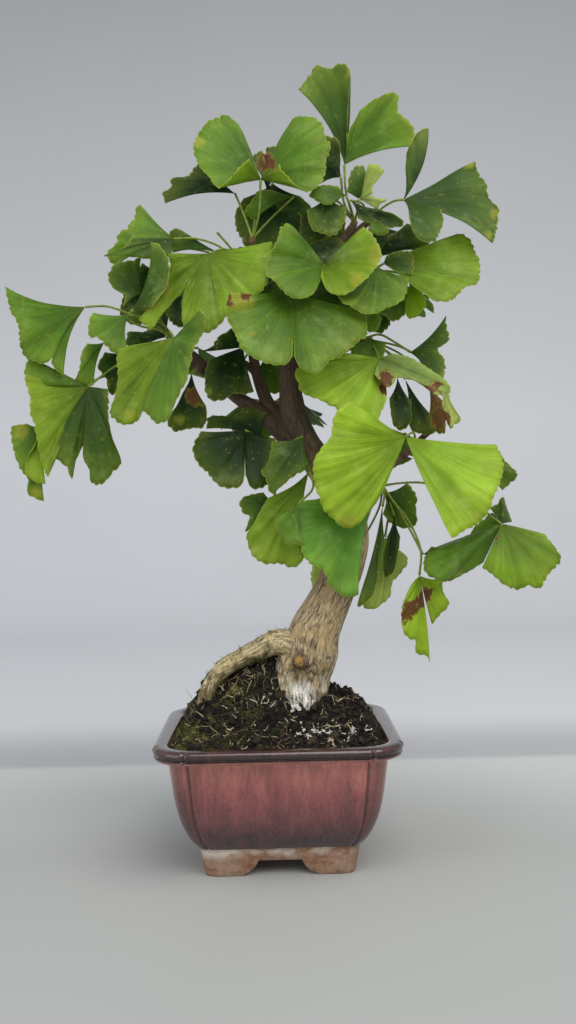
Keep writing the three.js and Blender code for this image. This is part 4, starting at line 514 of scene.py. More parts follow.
def noise(points, size, seed=0, octaves=1):
    """A smooth random value from 0 to 1: random numbers at the corners of cells of the given size, eased
    from corner to corner. Each further octave adds half as much at half the size."""
    points = np.asarray(points, float)
    total, weight = np.zeros(points.shape[:-1]), 0
    for octave in range(octaves):
        place = points * 2 ** octave / size + 17.3 * octave
        cell = np.floor(place).astype(np.int64)
        rest = place - cell
        rest = rest * rest * (3 - 2 * rest)
        for corner in np.ndindex(2, 2, 2):
            at = cell + corner
            mixed = at[..., 0] * 73856093 ^ at[..., 1] * 19349663 ^ at[..., 2] * 83492791
            mixed = mixed ^ (seed * 99991 + octave * 7)
            mixed = (mixed ^ (mixed >> 13)) * 1274126177 & 0xFFFFFFFF
            value = ((mixed ^ (mixed >> 16)) & 0xFFFF) / 65535
            total += 0.5 ** octave * value * np.where(corner, rest, 1 - rest).prod(-1)
        weight += 0.5 ** octave
    return total / weight


def wander(values, size, seed=0):
    """Noise along one number, from 0 to 1."""
    values = np.asarray(values, float)
    return noise(np.stack([values, 0 * values, 0 * values], -1), size, seed, 2)


def way_along(path):
    """How far along a path each of its points lies."""
    return np.r_[0, np.linalg.norm(np.diff(path, axis=0), axis=1).cumsum()]


def spline(knots, shares):
    """Points at shares of the length of a smooth curve through the knots, the curve's length, and where
    among the knots they lie. Between two knots the curve is a cubic. Its end slopes come from the knots
    around, spaced by the root of their distances."""
    knots = np.asarray(knots, float)
    padded = np.vstack([2 * knots[0] - knots[1], knots, 2 * knots[-1] - knots[-2]])

    def at(t):
        i = np.minimum(t.astype(int), len(knots) - 2)
        w = (t - i)[:, None]
        p = [padded[i + k] for k in range(4)]
        g = [np.maximum(np.linalg.norm(p[k + 1] - p[k], axis=1), 1e-9)[:, None] ** 0.5 for k in range(3)]
        first = ((p[1] - p[0]) / g[0] - (p[2] - p[0]) / (g[0] + g[1])) * g[1] + p[2] - p[1]
        last = ((p[3] - p[2]) / g[2] - (p[3] - p[1]) / (g[1] + g[2])) * g[1] + p[2] - p[1]
        step = p[2] - p[1]
        return p[1] + w * (first + w * (3 * step - 2 * first - last + w * (first + last - 2 * step)))

    even = np.linspace(0, len(knots) - 1, 201)
    run = way_along(at(even))
    t = np.interp(np.asarray(shares, float) * run[-1], run, even)
    return at(t), run[-1], t


def sheet_faces(rows, columns):
    """Quads of a grid of rows and columns of points. They face the way of (along a row) x (along a
    column)."""
    first = (np.arange(rows - 1)[:, None] * columns + np.arange(columns - 1)).ravel()
    return np.stack([first, first + 1, first + columns + 1, first + columns], 1)


def ring_faces(rings, sides, loop=False):
    """Quads between rings of points. With loop, the last ring joins the first."""
    ring = np.arange(rings if loop else rings - 1)[:, None] * sides
    after = (ring + sides) % (rings * sides)
    i, j = np.arange(sides), (np.arange(sides) + 1) % sides
    return np.stack([ring + i, ring + j, after + j, after + i], -1).reshape(-1, 4)


def closed(rings):
    """Rings of points (rings, sides, 3) as a shape that a pole closes at each end: its points and faces."""
    count, sides = rings.shape[:2]
    points = np.vstack([rings.reshape(-1, 3), rings[0].mean(0), rings[-1].mean(0)])
    i, j = np.arange(sides), (np.arange(sides) + 1) % sides
    start, end, last = count * sides, count * sides + 1, (count - 1) * sides
    caps = np.vstack([np.stack([start + 0 * i, j, i], 1), np.stack([end + 0 * i, last + i, last + j], 1)])
    return points, [ring_faces(count, sides), caps]


def ring_axes(path):
    """Two directions square to a path and to each other at each of its points."""
    tangent = unit(np.gradient(path, axis=0))
    across = unit(np.cross(tangent, GUIDE))
    return across, np.cross(tangent, across)


def circle(across, over, sides):
    """Directions round an axis, one for each side: cos x across + sin x over, from two directions that
    are square to the axis and to each other."""
    turn = np.linspace(0, 2 * math.pi, sides, endpoint=False)[:, None]
    return np.cos(turn) * across[..., None, :] + np.sin(turn) * over[..., None, :]


def tube(path, radius, sides):
    """A closed bar: a circle of the given radius carried along a path, square to it."""
    radius = np.broadcast_to(radius, len(path))[:, None, None]
    return closed(path[:, None] + radius * circle(*ring_axes(path), sides))


def mark(mesh, key, value):
    """Keeps one number, three, or a colour's four for every point of a mesh."""
    kinds = {1: ("FLOAT", "value"), 3: ("FLOAT_VECTOR", "vector"), 4: ("FLOAT_COLOR", "color")}
    kind, field = kinds[value.shape[1]]
    mesh.attributes.new(key, kind, "POINT").data.foreach_set(field, value.ravel())


class Shape:
    """Points and faces gathered part by part, with values for every point and a finish for every face."""

    def __init__(self):
        self.points, self.faces, self.finishes, self.values, self.size = [], [], [], {}, 0

    def add(self, points, faces, finish=0, **values):
        points = np.asarray(points).reshape(-1, 3)
        for part in faces if isinstance(faces, list) else [faces]:
            self.faces.append(part + self.size)
            self.finishes.append(np.broadcast_to(finish, len(part)))
        for name, value in values.items():
            value = np.asarray(value, float)
            self.values.setdefault(name, []).append(np.broadcast_to(value, (len(points), value.shape[-1])))
        self.points.append(points)
        self.size += len(points)

    def build(self, name, materials, sharp=None):
        """The gathered mesh as an object, smooth but for edges sharper than the given angle."""
        mesh = bpy.data.meshes.new(name)
        faces = [row for part in self.faces for row in part.tolist()]
        mesh.from_pydata((np.vstack(self.points) * MM).tolist(), [], faces)
        mesh.polygons.foreach_set("material_index", np.concatenate(self.finishes).astype(np.int32))
        for key, parts in self.values.items():
            mark(mesh, key, np.vstack(parts))
        mesh.shade_smooth()
        if sharp:
            mesh.set_sharp_from_angle(angle=math.radians(sharp))
        for material in materials:
            mesh.materials.append(material)
        mesh.update()
        piece = bpy.data.objects.new(name, mesh)
        bpy.context.scene.collection.objects.link(piece)
        return piece


def settle(piece, slot, *nodes):
    """Puts a finished piece on the tree's one body, in place of the frame's nodes that it stands for."""
    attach(piece, "root")
    if nodes:
        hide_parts(*nodes)


def tinted(colour):
    """A colour, or an array of them, with an opacity of 1."""
    colour = np.asarray(colour, float)
    return np.concatenate([colour, np.ones(colour.shape[:-1] + (1,))], -1)


def blended(first, second, share):
    """One colour turning into another by an array of shares."""
    share = np.asarray(share)[..., None]
    return np.asarray(first, float) * (1 - share) + np.asarray(second, float) * share


# ---------------------------------------------------------------- materials


def add(tree, kind, inputs=None, stops=(), get=0, **settings):
    """Adds a node and gives the output asked for, or all of them for None. Inputs are values or other
    nodes' outputs, stops are a ramp's places and colours, and colours are given without their opacity."""
    made = tree.nodes.new("ShaderNode" + kind)
    for name, value in settings.items():
        setattr(made, name, value)
    for name, value in (inputs or {}).items():
        socket = made.inputs[name]
        if isinstance(value, bpy.types.NodeSocket):
            tree.links.new(value, socket)
        else:
            socket.default_value = (*value, 1) if socket.type == "RGBA" else value
    for i, (place, colour) in enumerate(stops):
        stop = made.color_ramp.elements[i] if i < 2 else made.color_ramp.elements.new(place)
        stop.position, stop.color = place, (*colour, 1)
    return made.outputs if get is None else made.outputs[get]


def new_material(name, **values):
    """A material of one Principled shader with the given plain values, a maker of nodes for it, and the
    place on the object that its patterns lie on."""
    material = bpy.data.materials.new(name)
    material.use_nodes = True
    shader = material.node_tree.nodes["Principled BSDF"]
    for key, value in values.items():
        shader.inputs[key.replace("_", " ").title().replace("Ior", "IOR")].default_value = value
    put = partial(add, material.node_tree)
    return material, put, put("TexCoord", get="Object")


def finished(material, colour, rough=None, relief=None, strength=0, depth=0):
    """The material with its colour, its roughness where that varies, and a bump as deep as so many
    metres."""
    tree = material.node_tree
    shader = tree.nodes["Principled BSDF"]
    links = {"Base Color": colour, "Roughness": rough}
    if relief is not None:
        links["Normal"] = add(tree, "Bump", {"Strength": strength, "Distance": depth, "Height": relief})
    for name, output in links.items():
        if output is not None:
            tree.links.new(output, shader.inputs[name])
    return material


def glaze_material(s):
    """Reduction-fired copper red stoneware glaze, poured and glossy. It mirrors the room, lies dark where it
    has run low on the walls and into the grooves round the corners, is darkened further over each corner's
    arc as painted shade, is streaked and speckled, and thins to rust over edges."""
    material, put, place = new_material("copper_red_glaze", ior=1.52, coat_weight=0.6, coat_roughness=0.04)
    height = put("SeparateXYZ", {0: place}, get="Z")
    marks = put("SeparateXYZ", {0: put("Attribute", attribute_name="glaze", get="Vector")}, get=None)
    drawn = put("Mapping", {"Vector": place, "Scale": (1, 1, 0.35)})
    clouds = put("TexNoise", {"Vector": drawn, "Scale": 110, "Detail": 5, "Roughness": 0.62})
    level = put("MapRange", {"Value": height, "From Min": 0.013, "From Max": 0.062})
    shifted = put("Math", {0: clouds, 1: 0.55, 2: -0.28}, operation="MULTIPLY_ADD")
    run = put("Math", {0: level, 1: shifted}, operation="ADD", use_clamp=True)
    wall = put("ValToRGB", {"Fac": run}, [
        (0.06, s.glaze_low), (0.34, blended(s.glaze_low, s.glaze, 0.5)), (0.6, s.glaze),
        (0.92, s.glaze_warm)])
    # iron specks are about 0.7 mm across
    specks = put("TexNoise", {"Vector": place, "Scale": 1500, "Detail": 2})
    speck = put("MapRange", {"Value": specks, "From Min": 0.58, "From Max": 0.76, "To Max": 0.3})
    pit = put("MapRange", {"Value": specks, "From Min": 0.42, "From Max": 0.3, "To Max": 0.5})
    # the glaze has run down in streaks, broad ones of about 8 mm and fine ones of about 1.5 mm
    downward = put("Mapping", {"Vector": place, "Scale": (1, 1, 0.13)})
    broad = put("TexNoise", {"Vector": downward, "Scale": 130, "Detail": 2})
    fine = put("TexNoise", {"Vector": downward, "Scale": 700, "Detail": 3})
    both = put("Math", {0: fine, 1: 0.6, 2: broad}, operation="MULTIPLY_ADD")
    streaks = put("MapRange", {"Value": both, "From Min": 0.6, "From Max": 1, "To Min": 0.72,
                               "To Max": 1.3})
    # painted shade: the glaze is up to 42 percent darker over each corner's arc, where the wall turns away
    # from the light
    turned = put("Math", {0: marks["Z"], 1: -0.42, 2: 1}, operation="MULTIPLY_ADD")
    lightness = put("Math", {0: streaks, 1: turned}, operation="MULTIPLY")
    colour = put("HueSaturation", {"Color": wall, "Value": lightness})
    on_rim = put("MapRange", {"Value": height, "From Min": 0.0598, "From Max": 0.0612})
    rusty = put("MapRange", {"Value": clouds, "From Min": 0.5, "From Max": 0.8, "To Max": 0.3})
    rim = put("Mix", {0: rusty, 6: s.glaze_rim, 7: s.glaze_thin}, data_type="RGBA", get=2)
    pooled = put("Math", {0: marks["X"], 1: 0.72}, operation="MULTIPLY")
    bare = put("Math", {0: clouds, 1: 1.3, 2: -0.42}, operation="MULTIPLY_ADD")
    thinned = put("Math", {0: marks["Y"], 1: bare}, operation="MULTIPLY", use_clamp=True)
    for share, over in ((speck, linear("#AE8E8E")), (pit, linear("#342529")), (on_rim, rim),
                        (pooled, s.glaze_low), (thinned, s.glaze_thin)):
        colour = put("Mix", {0: share, 6: colour, 7: over}, data_type="RGBA", get=2)
    rough = put("MapRange", {"Value": clouds, "From Min": 0.3, "From Max": 0.7, "To Min": 0.1,
                             "To Max": 0.27})
    skin = put("TexNoise", {"Vector": place, "Scale": 420, "Detail": 3})
    return finished(material, colour, rough, skin, 0.35, 0.00035)


def clay_material(s):
    """Bare stoneware, sponged and fired: matt, toasted unevenly, with a bloom of pale salts that is
    thickest in a band under the glaze."""
    material, put, place = new_material("bare_stoneware", specular_ior_level=0.25)
    height = put("SeparateXYZ", {0: place}, get="Z")
    flat = put("Mapping", {"Vector": place, "Scale": (1, 1, 1.5)})
    toast = put("TexNoise", {"Vector": flat, "Scale": 230, "Detail": 7, "Roughness": 0.7})
    body = put("ValToRGB", {"Fac": toast}, [
        (0.34, blended(s.clay, linear("#553F2C"), 0.65)), (0.52, s.clay),
        (0.72, blended(s.clay, s.bloom, 0.3))])
    band = put("MapRange", {"Value": height, "From Min": 0.0085, "From Max": 0.0125, "To Max": 0.9})
    patch = put("TexNoise", {"Vector": flat, "Scale": 95, "Detail": 4})
    salt = put("MapRange", {"Value": patch, "From Min": 0.4, "From Max": 0.65})
    thick = put("Math", {0: band, 1: salt}, operation="MULTIPLY")
    bloom = put("Math", {0: salt, 1: 0.26, 2: thick}, operation="MULTIPLY_ADD", use_clamp=True)
    colour = put("Mix", {0: bloom, 6: body, 7: s.bloom}, data_type="RGBA", get=2)
    rough = put("MapRange", {"Value": toast, "To Min": 0.72, "To Max": 0.95})
    # sand grains of about 0.4 mm stand out of the surface
    sand = put("TexNoise", {"Vector": place, "Scale": 2400, "Detail": 3})
    return finished(material, colour, rough, sand, 0.6, 0.0004)


def plastic_material():
    """Black polypropylene, injection moulded: dull, with faint flow marks and mud in its pores."""
    material, put, place = new_material("moulded_polypropylene", ior=1.49)
    mud = put("TexNoise", {"Vector": place, "Scale": 380, "Detail": 4})
    colour = put("ValToRGB", {"Fac": mud}, [(0.4, linear("#222427")), (0.7, linear("#4A4036"))])
    rough = put("MapRange", {"Value": mud, "To Min": 0.45, "To Max": 0.8})
    return finished(material, colour, rough, mud, 0.3, 0.0002)


def soil_material(s):
    """Damp potting mix of peat and bark fines: nearly black, crumbly, with drier brown crumbs on top."""
    material, put, place = new_material("damp_potting_mix", specular_ior_level=0.3)
    crumb = put("TexNoise", {"Vector": place, "Scale": 520, "Detail": 6, "Roughness": 0.7})
    colour = put("ValToRGB", {"Fac": crumb}, [
        (0.34, blended(s.soil, (0, 0, 0), 0.65)), (0.52, s.soil), (0.74, s.soil_dry)])
    rough = put("MapRange", {"Value": crumb, "To Min": 0.75, "To Max": 1})
    return finished(material, colour, rough, crumb, 0.9, 0.0012)


def litter_material(name, rough, scale):
    """Small loose or growing things that each have a colour of their own, mottled at the given scale."""
    material, put, place = new_material(name, roughness=rough, specular_ior_level=0.3)
    tint = put("Attribute", attribute_name="tint")
    mottle = put("TexNoise", {"Vector": place, "Scale": scale, "Detail": 3})
    level = put("MapRange", {"Value": mottle, "From Min": 0.3, "From Max": 0.7, "To Min": 0.65,
                             "To Max": 1.3})
    colour = put("HueSaturation", {"Color": tint, "Value": level})
    return finished(material, colour, None, mottle, 0.4, 0.0002)


def bark_material(s):
    """Ginkgo bark, grown: corky plates that the weather has greyed, dark fissures round them, fine
    grain."""
    material, put, place = new_material("ginkgo_bark", specular_ior_level=0.22)
    tint = put("Attribute", attribute_name="tint")
    crack = put("Attribute", attribute_name="crack", get="Fac")
    limb = put("Attribute", attribute_name="limb", get="Vector")
    # cork grain is about 0.6 mm wide and drawn out along the limb
    along = put("Mapping", {"Vector": place, "Scale": (1, 1, 0.24)})
    fine = put("TexNoise", {"Vector": along, "Scale": 900, "Detail": 5, "Roughness": 0.7})
    broad = put("TexNoise", {"Vector": place, "Scale": 150, "Detail": 4})
    level = put("MapRange", {"Value": fine, "From Min": 0.32, "From Max": 0.68, "To Min": 0.6,
                             "To Max": 1.28})
    grey = put("MapRange", {"Value": broad, "From Min": 0.4, "From Max": 0.7, "To Min": 1.1,
                            "To Max": 0.85})
    skin = put("HueSaturation", {"Color": tint, "Value": level, "Saturation": grey})
    # fissures wind round plates of cork about 2.5 mm wide and six times as long
    shift = put("TexNoise", {"Vector": limb, "Scale": 0.35, "Detail": 3}, get="Color")
    wound = put("VectorMath", {0: shift, 1: (4, 4, 1.6), 2: limb}, operation="MULTIPLY_ADD")
    plates = put("TexVoronoi", {"Vector": wound, "Scale": 0.42}, feature="DISTANCE_TO_EDGE", get="Distance")
    line = put("MapRange", {"Value": plates, "From Min": 0.11, "From Max": 0.01})
    kept = put("MapRange", {"Value": broad, "From Min": 0.36, "From Max": 0.58, "To Min": 0.25})
    fissure = put("Math", {0: line, 1: kept}, operation="MULTIPLY")
    wide = put("Math", {0: crack, 1: 0.4}, operation="MULTIPLY")
    deep = put("Math", {0: fissure, 1: 0.72, 2: wide}, operation="MULTIPLY_ADD", use_clamp=True)
    colour = put("Mix", {0: deep, 6: skin, 7: s.crack}, data_type="RGBA", get=2)
    rough = put("MapRange", {"Value": fine, "To Min": 0.7, "To Max": 0.98})
    height = put("Math", {0: fissure, 1: -0.8, 2: fine}, operation="MULTIPLY_ADD")
    return finished(material, colour, rough, height, 0.8, 0.0007)


def leaf_material(s):
    """Living ginkgo leaf: leathery and half dull, fine forking veins that fan out from the stalk, streaks
    along them, a pale margin, chalky dust, tiny yellow specks, scorched patches, and light that glows
    through."""
    material, put, place = new_material(
        "ginkgo_leaf", specular_ior_level=0.16, subsurface_weight=0.3, subsurface_scale=0.0016,
        subsurface_radius=(0.7, 1, 0.18))
    tint = put("Attribute", attribute_name="tint")
    fan, marks = (put("SeparateXYZ", {0: put("Attribute", attribute_name=name, get="Vector")}, get=None)
                  for name in ("fan", "marks"))
    cloud = put("TexNoise", {"Vector": place, "Scale": 120, "Detail": 5, "Roughness": 0.6})
    # real veins lie 0.8 mm apart at the rim; they are drawn farther apart so that they show
    wobble = put("Math", {0: cloud, 1: 2.4, 2: fan["X"]}, operation="MULTIPLY_ADD")
    veins = []
    for spread in (1, 2, 4):
        turn = put("Math", {0: wobble, 1: 2 * math.pi / (s.vein / MM * spread)}, operation="MULTIPLY")
        veins.append(put("Math", {0: turn}, operation="SINE"))
    outer = put("MapRange", {"Value": fan["Y"], "From Min": 0.42, "From Max": 0.6})
    inner = put("MapRange", {"Value": fan["Y"], "From Min": 0.18, "From Max": 0.3})
    forked = put("Mix", {0: outer, 2: veins[1], 3: veins[0]}, data_type="FLOAT")
    vein = put("Mix", {0: inner, 2: veins[2], 3: forked}, data_type="FLOAT")
    level = put("MapRange", {"Value": cloud, "From Min": 0.3, "From Max": 0.7, "To Min": 0.86,
                             "To Max": 1.14})
    ribbed = put("Math", {0: vein, 1: 0.05, 2: level}, operation="MULTIPLY_ADD")
    # light and dark streaks fan out with the veins, about 3 mm wide at the rim
    fanned = put("CombineXYZ", {"X": fan["X"], "Y": fan["Y"]})
    drawn = put("Mapping", {"Vector": fanned, "Scale": (0.34, 1.3, 1)})
    streak = put("TexNoise", {"Vector": drawn, "Scale": 1, "Detail": 5, "Roughness": 0.65})
    streaks = put("MapRange", {"Value": streak, "From Min": 0.3, "From Max": 0.7, "To Min": 0.8,
                               "To Max": 1.2})
    lightness = put("Math", {0: ribbed, 1: streaks}, operation="MULTIPLY")
    colour = put("HueSaturation", {"Color": tint, "Value": lightness})
    chalk = put("TexNoise", {"Vector": place, "Scale": 60, "Detail": 7, "Roughness": 0.7})
    dust = put("MapRange", {"Value": chalk, "From Min": 0.55, "From Max": 0.75, "To Max": 0.24})
    dots = put("TexVoronoi", {"Vector": place, "Scale": 240, "Randomness": 1}, get=None)
    rare = put("Math", {0: dots["Color"], 1: 0.72}, operation="GREATER_THAN")
    near = put("MapRange", {"Value": dots["Distance"], "From Min": 0.14, "From Max": 0.07, "To Max": 0.55})
    speck = put("Math", {0: rare, 1: near}, operation="MULTIPLY")
    ageing = put("Math", {0: cloud, 1: 1.6, 2: -0.8}, operation="MULTIPLY_ADD")
    age = put("Math", {0: marks["Y"], 1: ageing}, operation="ADD")
    aged = put("MapRange", {"Value": age, "From Min": 0.3, "From Max": 1, "To Max": 0.55})
    edge = put("MapRange", {"Value": fan["Z"], "From Min": 0.9, "From Max": 0.1, "To Max": 0.5})
    ragged = put("TexNoise", {"Vector": place, "Scale": 330, "Detail": 4, "Roughness": 0.6})
    eaten = put("Math", {0: ragged, 1: 2.4, 2: -1.2}, operation="MULTIPLY_ADD")
    burn = put("Math", {0: marks["X"], 1: eaten}, operation="ADD")
    burnt = put("MapRange", {"Value": burn, "From Min": 0.42, "From Max": 0.66})
    halo = put("MapRange", {"Value": burn, "From Min": 0.3, "From Max": 0.5, "To Max": 0.5})
    dry = put("Mix", {0: ragged, 6: s.brown, 7: linear("#553421")}, data_type="RGBA", get=2)
    for share, over in ((dust, linear("#AEBC81")), (speck, s.yellow), (aged, s.yellow), (edge, s.margin),
                        (halo, s.yellow), (burnt, dry)):
        colour = put("Mix", {0: share, 6: colour, 7: over}, data_type="RGBA", get=2)
    rough = put("MapRange", {"Value": marks["Z"], "To Min": 0.42, "To Max": 0.62})
    pores = put("TexNoise", {"Vector": place, "Scale": 1300, "Detail": 2})
    relief = put("Math", {0: vein, 1: 0.35, 2: pores}, operation="MULTIPLY_ADD")
    return finished(material, colour, rough, relief, 0.35, 0.0003)


# ---------------------------------------------------------------- pot


def pot_columns():
    """Places round the rounded square, counter-clockwise from the middle of its right side. Each has its
    share of the way out to the corner's centre, in x and y, and its direction from there."""
    near = np.array([0.5, 1.1, 1.8, 2.6, 3.6, 4.8])
    side = np.r_[np.linspace(0, 0.26, 5), np.linspace(0.29, 0.6, 22), np.linspace(0.64, 0.86, 6),
                 1 - near[::-1] / 44, 1]
    half = np.array([1.5, 3, 4.5, 6, 7.5, 9, 10, 11, 12, 13, 14, 15, 16.5, 18, 20, 22.5, 26, 31, 38])
    bend = np.radians(np.r_[half, 45, 90 - half[::-1]])
    one, none = np.ones_like(side), np.zeros_like(side)
    quarter = np.hstack([
        np.stack([one, side, one, none]),
        np.stack([np.ones_like(bend), np.ones_like(bend), np.cos(bend), np.sin(bend)]),
        np.stack([side, one, none, one])[:, ::-1],
    ])
    turns = [(1, 1, 1), (-1, 1, -1), (-1, -1, 1), (1, -1, -1)]
    return np.hstack([(quarter * [[sx], [sy], [sx], [sy]])[:, ::step][:, :-1] for sx, sy, step in turns])


def pot_rings(profile, columns, groove, width):
    """Rings of a profile: the corner's centre and its radius in the column's direction, less the groove,
    whose depth falls off as a bell to both sides of 12 degrees from each end of the arc. Also how deep
    and how near a groove is."""
    z, half_x, half_y, corner, grooved, _ = (value[:, None] for value in np.asarray(profile, float).T)
    ax, ay, bx, by = columns
    away_x, away_y = half_x - corner, half_y - corner
    turn = np.arctan2(np.abs(by), np.abs(bx))
    straight = (1 - np.abs(ax)) * away_x + (1 - np.abs(ay)) * away_y
    off = straight + np.abs(np.minimum(turn, math.pi / 2 - turn) - math.radians(12)) * corner
    deep = grooved * np.exp(-((off / width) ** 2))
    radius = corner - groove * deep
    rings = np.stack([ax * away_x + bx * radius, ay * away_y + by * radius, z + 0 * ax], -1)
    return rings, deep, grooved * np.exp(-(((off - 1.7 * width) / (0.6 * width)) ** 2))


def densified(rows, number):
    """More rows of a profile, along a smooth curve through the ones given."""
    return spline(rows, np.linspace(0, 1, number))[0]


def make_pot(s):
    """One skin with no seam: up the outside, over the rim, down the inside and back through the drain
    hole."""
    columns = pot_columns()
    groove, width = s.groove / MM, s.groove_width / MM
    outside = np.vstack([FOOT[::-1], densified(BODY[::-1], 34), densified(RIM[::-1], 34)])
    inside = densified(INSIDE[::-1], 16)
    profile = np.vstack([outside, inside])
    rings, deep, shoulder = pot_rings(profile, columns, groove, width)
    on_side = np.abs(columns[0]) < 1, np.abs(columns[1]) < 1
    lowest, foot_top = len(FOOT), FOOT[0][0]
    for ring in range(lowest):
        from_middle = np.where(on_side[0], np.abs(rings[ring, :, 0]),
                               np.where(on_side[1], np.abs(rings[ring, :, 1]), 99))
        arch = np.interp(from_middle, *np.array(ARCH).T)
        level = rings[ring, :, 2]
        inner = ring < 4
        rings[ring, :, 2] = np.maximum(level, arch) if inner else arch + level / foot_top * (foot_top - arch)
    around = np.arctan2(rings[0, :, 1], rings[0, :, 0])
    sway = (wander(around, 0.22, 3) - 0.5) * (1 - np.abs(around) / math.pi) * 0.9
    rings[lowest - 1:lowest + 2, :, 2] += sway
    hole = HOLE * np.stack([np.cos(around), np.sin(around)], -1)
    below, above = (np.column_stack([hole, np.full(len(around), level)])[None] for level in (8, 14))
    rings = np.vstack([below, rings, above])
    thin = np.clip(profile[:, 5:6] + 0.45 * shoulder, 0, 1)
    plain = np.zeros((1, len(around)))
    # bend: how far round a corner's arc each place lies, where the glaze is darkened as painted shade
    bend = np.repeat(ease(0.25, 0.8, 1.41 * np.abs(columns[2:]).min(0))[None], len(profile), 0)
    marks = np.stack([np.vstack([plain, part, plain]) for part in (deep, thin, bend)], -1)
    faces = ring_faces(len(rings), len(around), loop=True)
    glazed = np.zeros(len(rings), int)
    glazed[lowest + 1:len(outside) + 5] = 1
    shape = Shape()
    shape.add(rings, faces, np.repeat(1 - glazed, len(around)), glaze=marks.reshape(-1, 3))
    piece = shape.build("glazed_pot", [glaze_material(s), clay_material(s)], sharp=38)
    settle(piece, "glazed_clay", "pot")


# ---------------------------------------------------------------- soil, moss and litter


def inwards(x, y):
    """How far inside the edge of the pot's opening a place near a corner lies: the corner's radius less
    the way out from the corner's centre."""
    half_x, half_y, corner = OPENING
    return corner - np.hypot(np.maximum(np.abs(x) - half_x, 0), np.maximum(np.abs(y) - half_y, 0))


def mound(x, y):
    """Height of the soil. It rises from the rim's inner edge to its ridge, steeply at the sides and
    softer in front, in low lumps. It dips in front of the trunk's foot, and crumbs of a few millimetres
    roughen it."""
    span, crest = 49.6, 4
    in_front = y < crest
    rise = np.where(in_front, (y + span) / (crest + span), (span - y) / (span - crest))
    slope = np.clip(rise, 0, 1) ** np.where(in_front, 1.45, 0.9)
    lumps = 1.3 * slope * (np.sin(0.41 * x + 1.3) * np.cos(0.37 * y) + np.sin(0.0253 * x * y))
    height = SOIL_EDGE + (np.interp(x, *np.array(RIDGE).T) - SOIL_EDGE) * slope + lumps
    dip = 5 * np.exp(-(((x - 11) / 8) ** 2 + ((y + 16) / 7) ** 2))
    place = np.stack([x, y, 0 * x], -1)
    rough = 2.6 * (noise(place, 5.5, 5, 2) - 0.5) + 1.1 * (noise(place, 1.7, 6) - 0.5)
    return SOIL_EDGE + (height - dip + rough - SOIL_EDGE) * ease(0, 6, inwards(x, y))


def make_soil(s):
    """The mound over a plug that fills the pot: rings of the pot's inside, then the same outline drawn
    in."""
    columns = pot_columns()
    levels = [(15.8, 33.7, 30.7, 6.1), (28, 43.1, 39.7, 7.5), (60, 48.5, 44.9, 10.5), (64.4, 51.9, 48.1, 12)]
    walls = pot_rings([(*level, 0, 0) for level in levels], columns, 0, 1)[0]
    share = np.linspace(0.985, 0.012, 84)[:, None]
    x, y = walls[-1, :, 0] * share, walls[-1, :, 1] * share
    top = np.stack([x, y, mound(x, y)], -1)
    points, faces = closed(np.vstack([walls, top]))
    shape = Shape()
    shape.add(points, faces)
    settle(shape.build("soil_mound", [soil_material(s)]), "potting_soil", "soil")


def scattered(number, chance, rng):
    """Random places on the mound, kept where chance, a function of x and y, beats an even random number."""
    x, y = rng.uniform(-51, 51, number * 12), rng.uniform(-47.3, 47.3, number * 12)
    kept = np.flatnonzero((chance(x, y) > rng.random(x.size)) & (inwards(x, y) > 0.8))[:number]
    x, y = x[kept], y[kept]
    return np.stack([x, y, mound(x, y)], -1)


def skin_of(mesh):
    """A mesh's points in millimetres, and its normals."""
    points, normals = np.empty((2, len(mesh.vertices) * 3))
    mesh.vertices.foreach_get("co", points)
    mesh.vertices.foreach_get("normal", normals)
    return points.reshape(-1, 3) / MM, normals.reshape(-1, 3)


def on_wood(number, mask, rng):
    """Random points of the bark's mesh where mask, a function of points and normals, is true."""
    points, normals = skin_of(bpy.data.objects["ginkgo_wood"].data)
    found = np.flatnonzero(mask(points, normals))
    chosen = rng.choice(found, min(number, len(found)), replace=False)
    return points[chosen], normals[chosen]


def spikes(base, aim, tall, wide, rng):
    """Slender three-sided spikes: a small triangle across the aim at each base, and a tip along it."""
    across = unit(np.cross(aim, unit(rng.normal(size=aim.shape))))
    feet = base[:, None] + wide[:, None, None] * circle(across, np.cross(aim, across), 3)
    points = np.concatenate([feet, (base + aim * tall[:, None])[:, None]], 1)
    faces = np.array([[0, 1, 3], [1, 2, 3], [2, 0, 3], [2, 1, 0]])
    return points.reshape(-1, 3), (np.arange(len(base))[:, None, None] * 4 + faces).reshape(-1, 3)


def under_root(x, y):
    """How far a place lies on the slope below the arched root: a bell around its middle."""
    return np.exp(-(((x + 17) / 15) ** 2 + ((y + 12) / 13) ** 2))


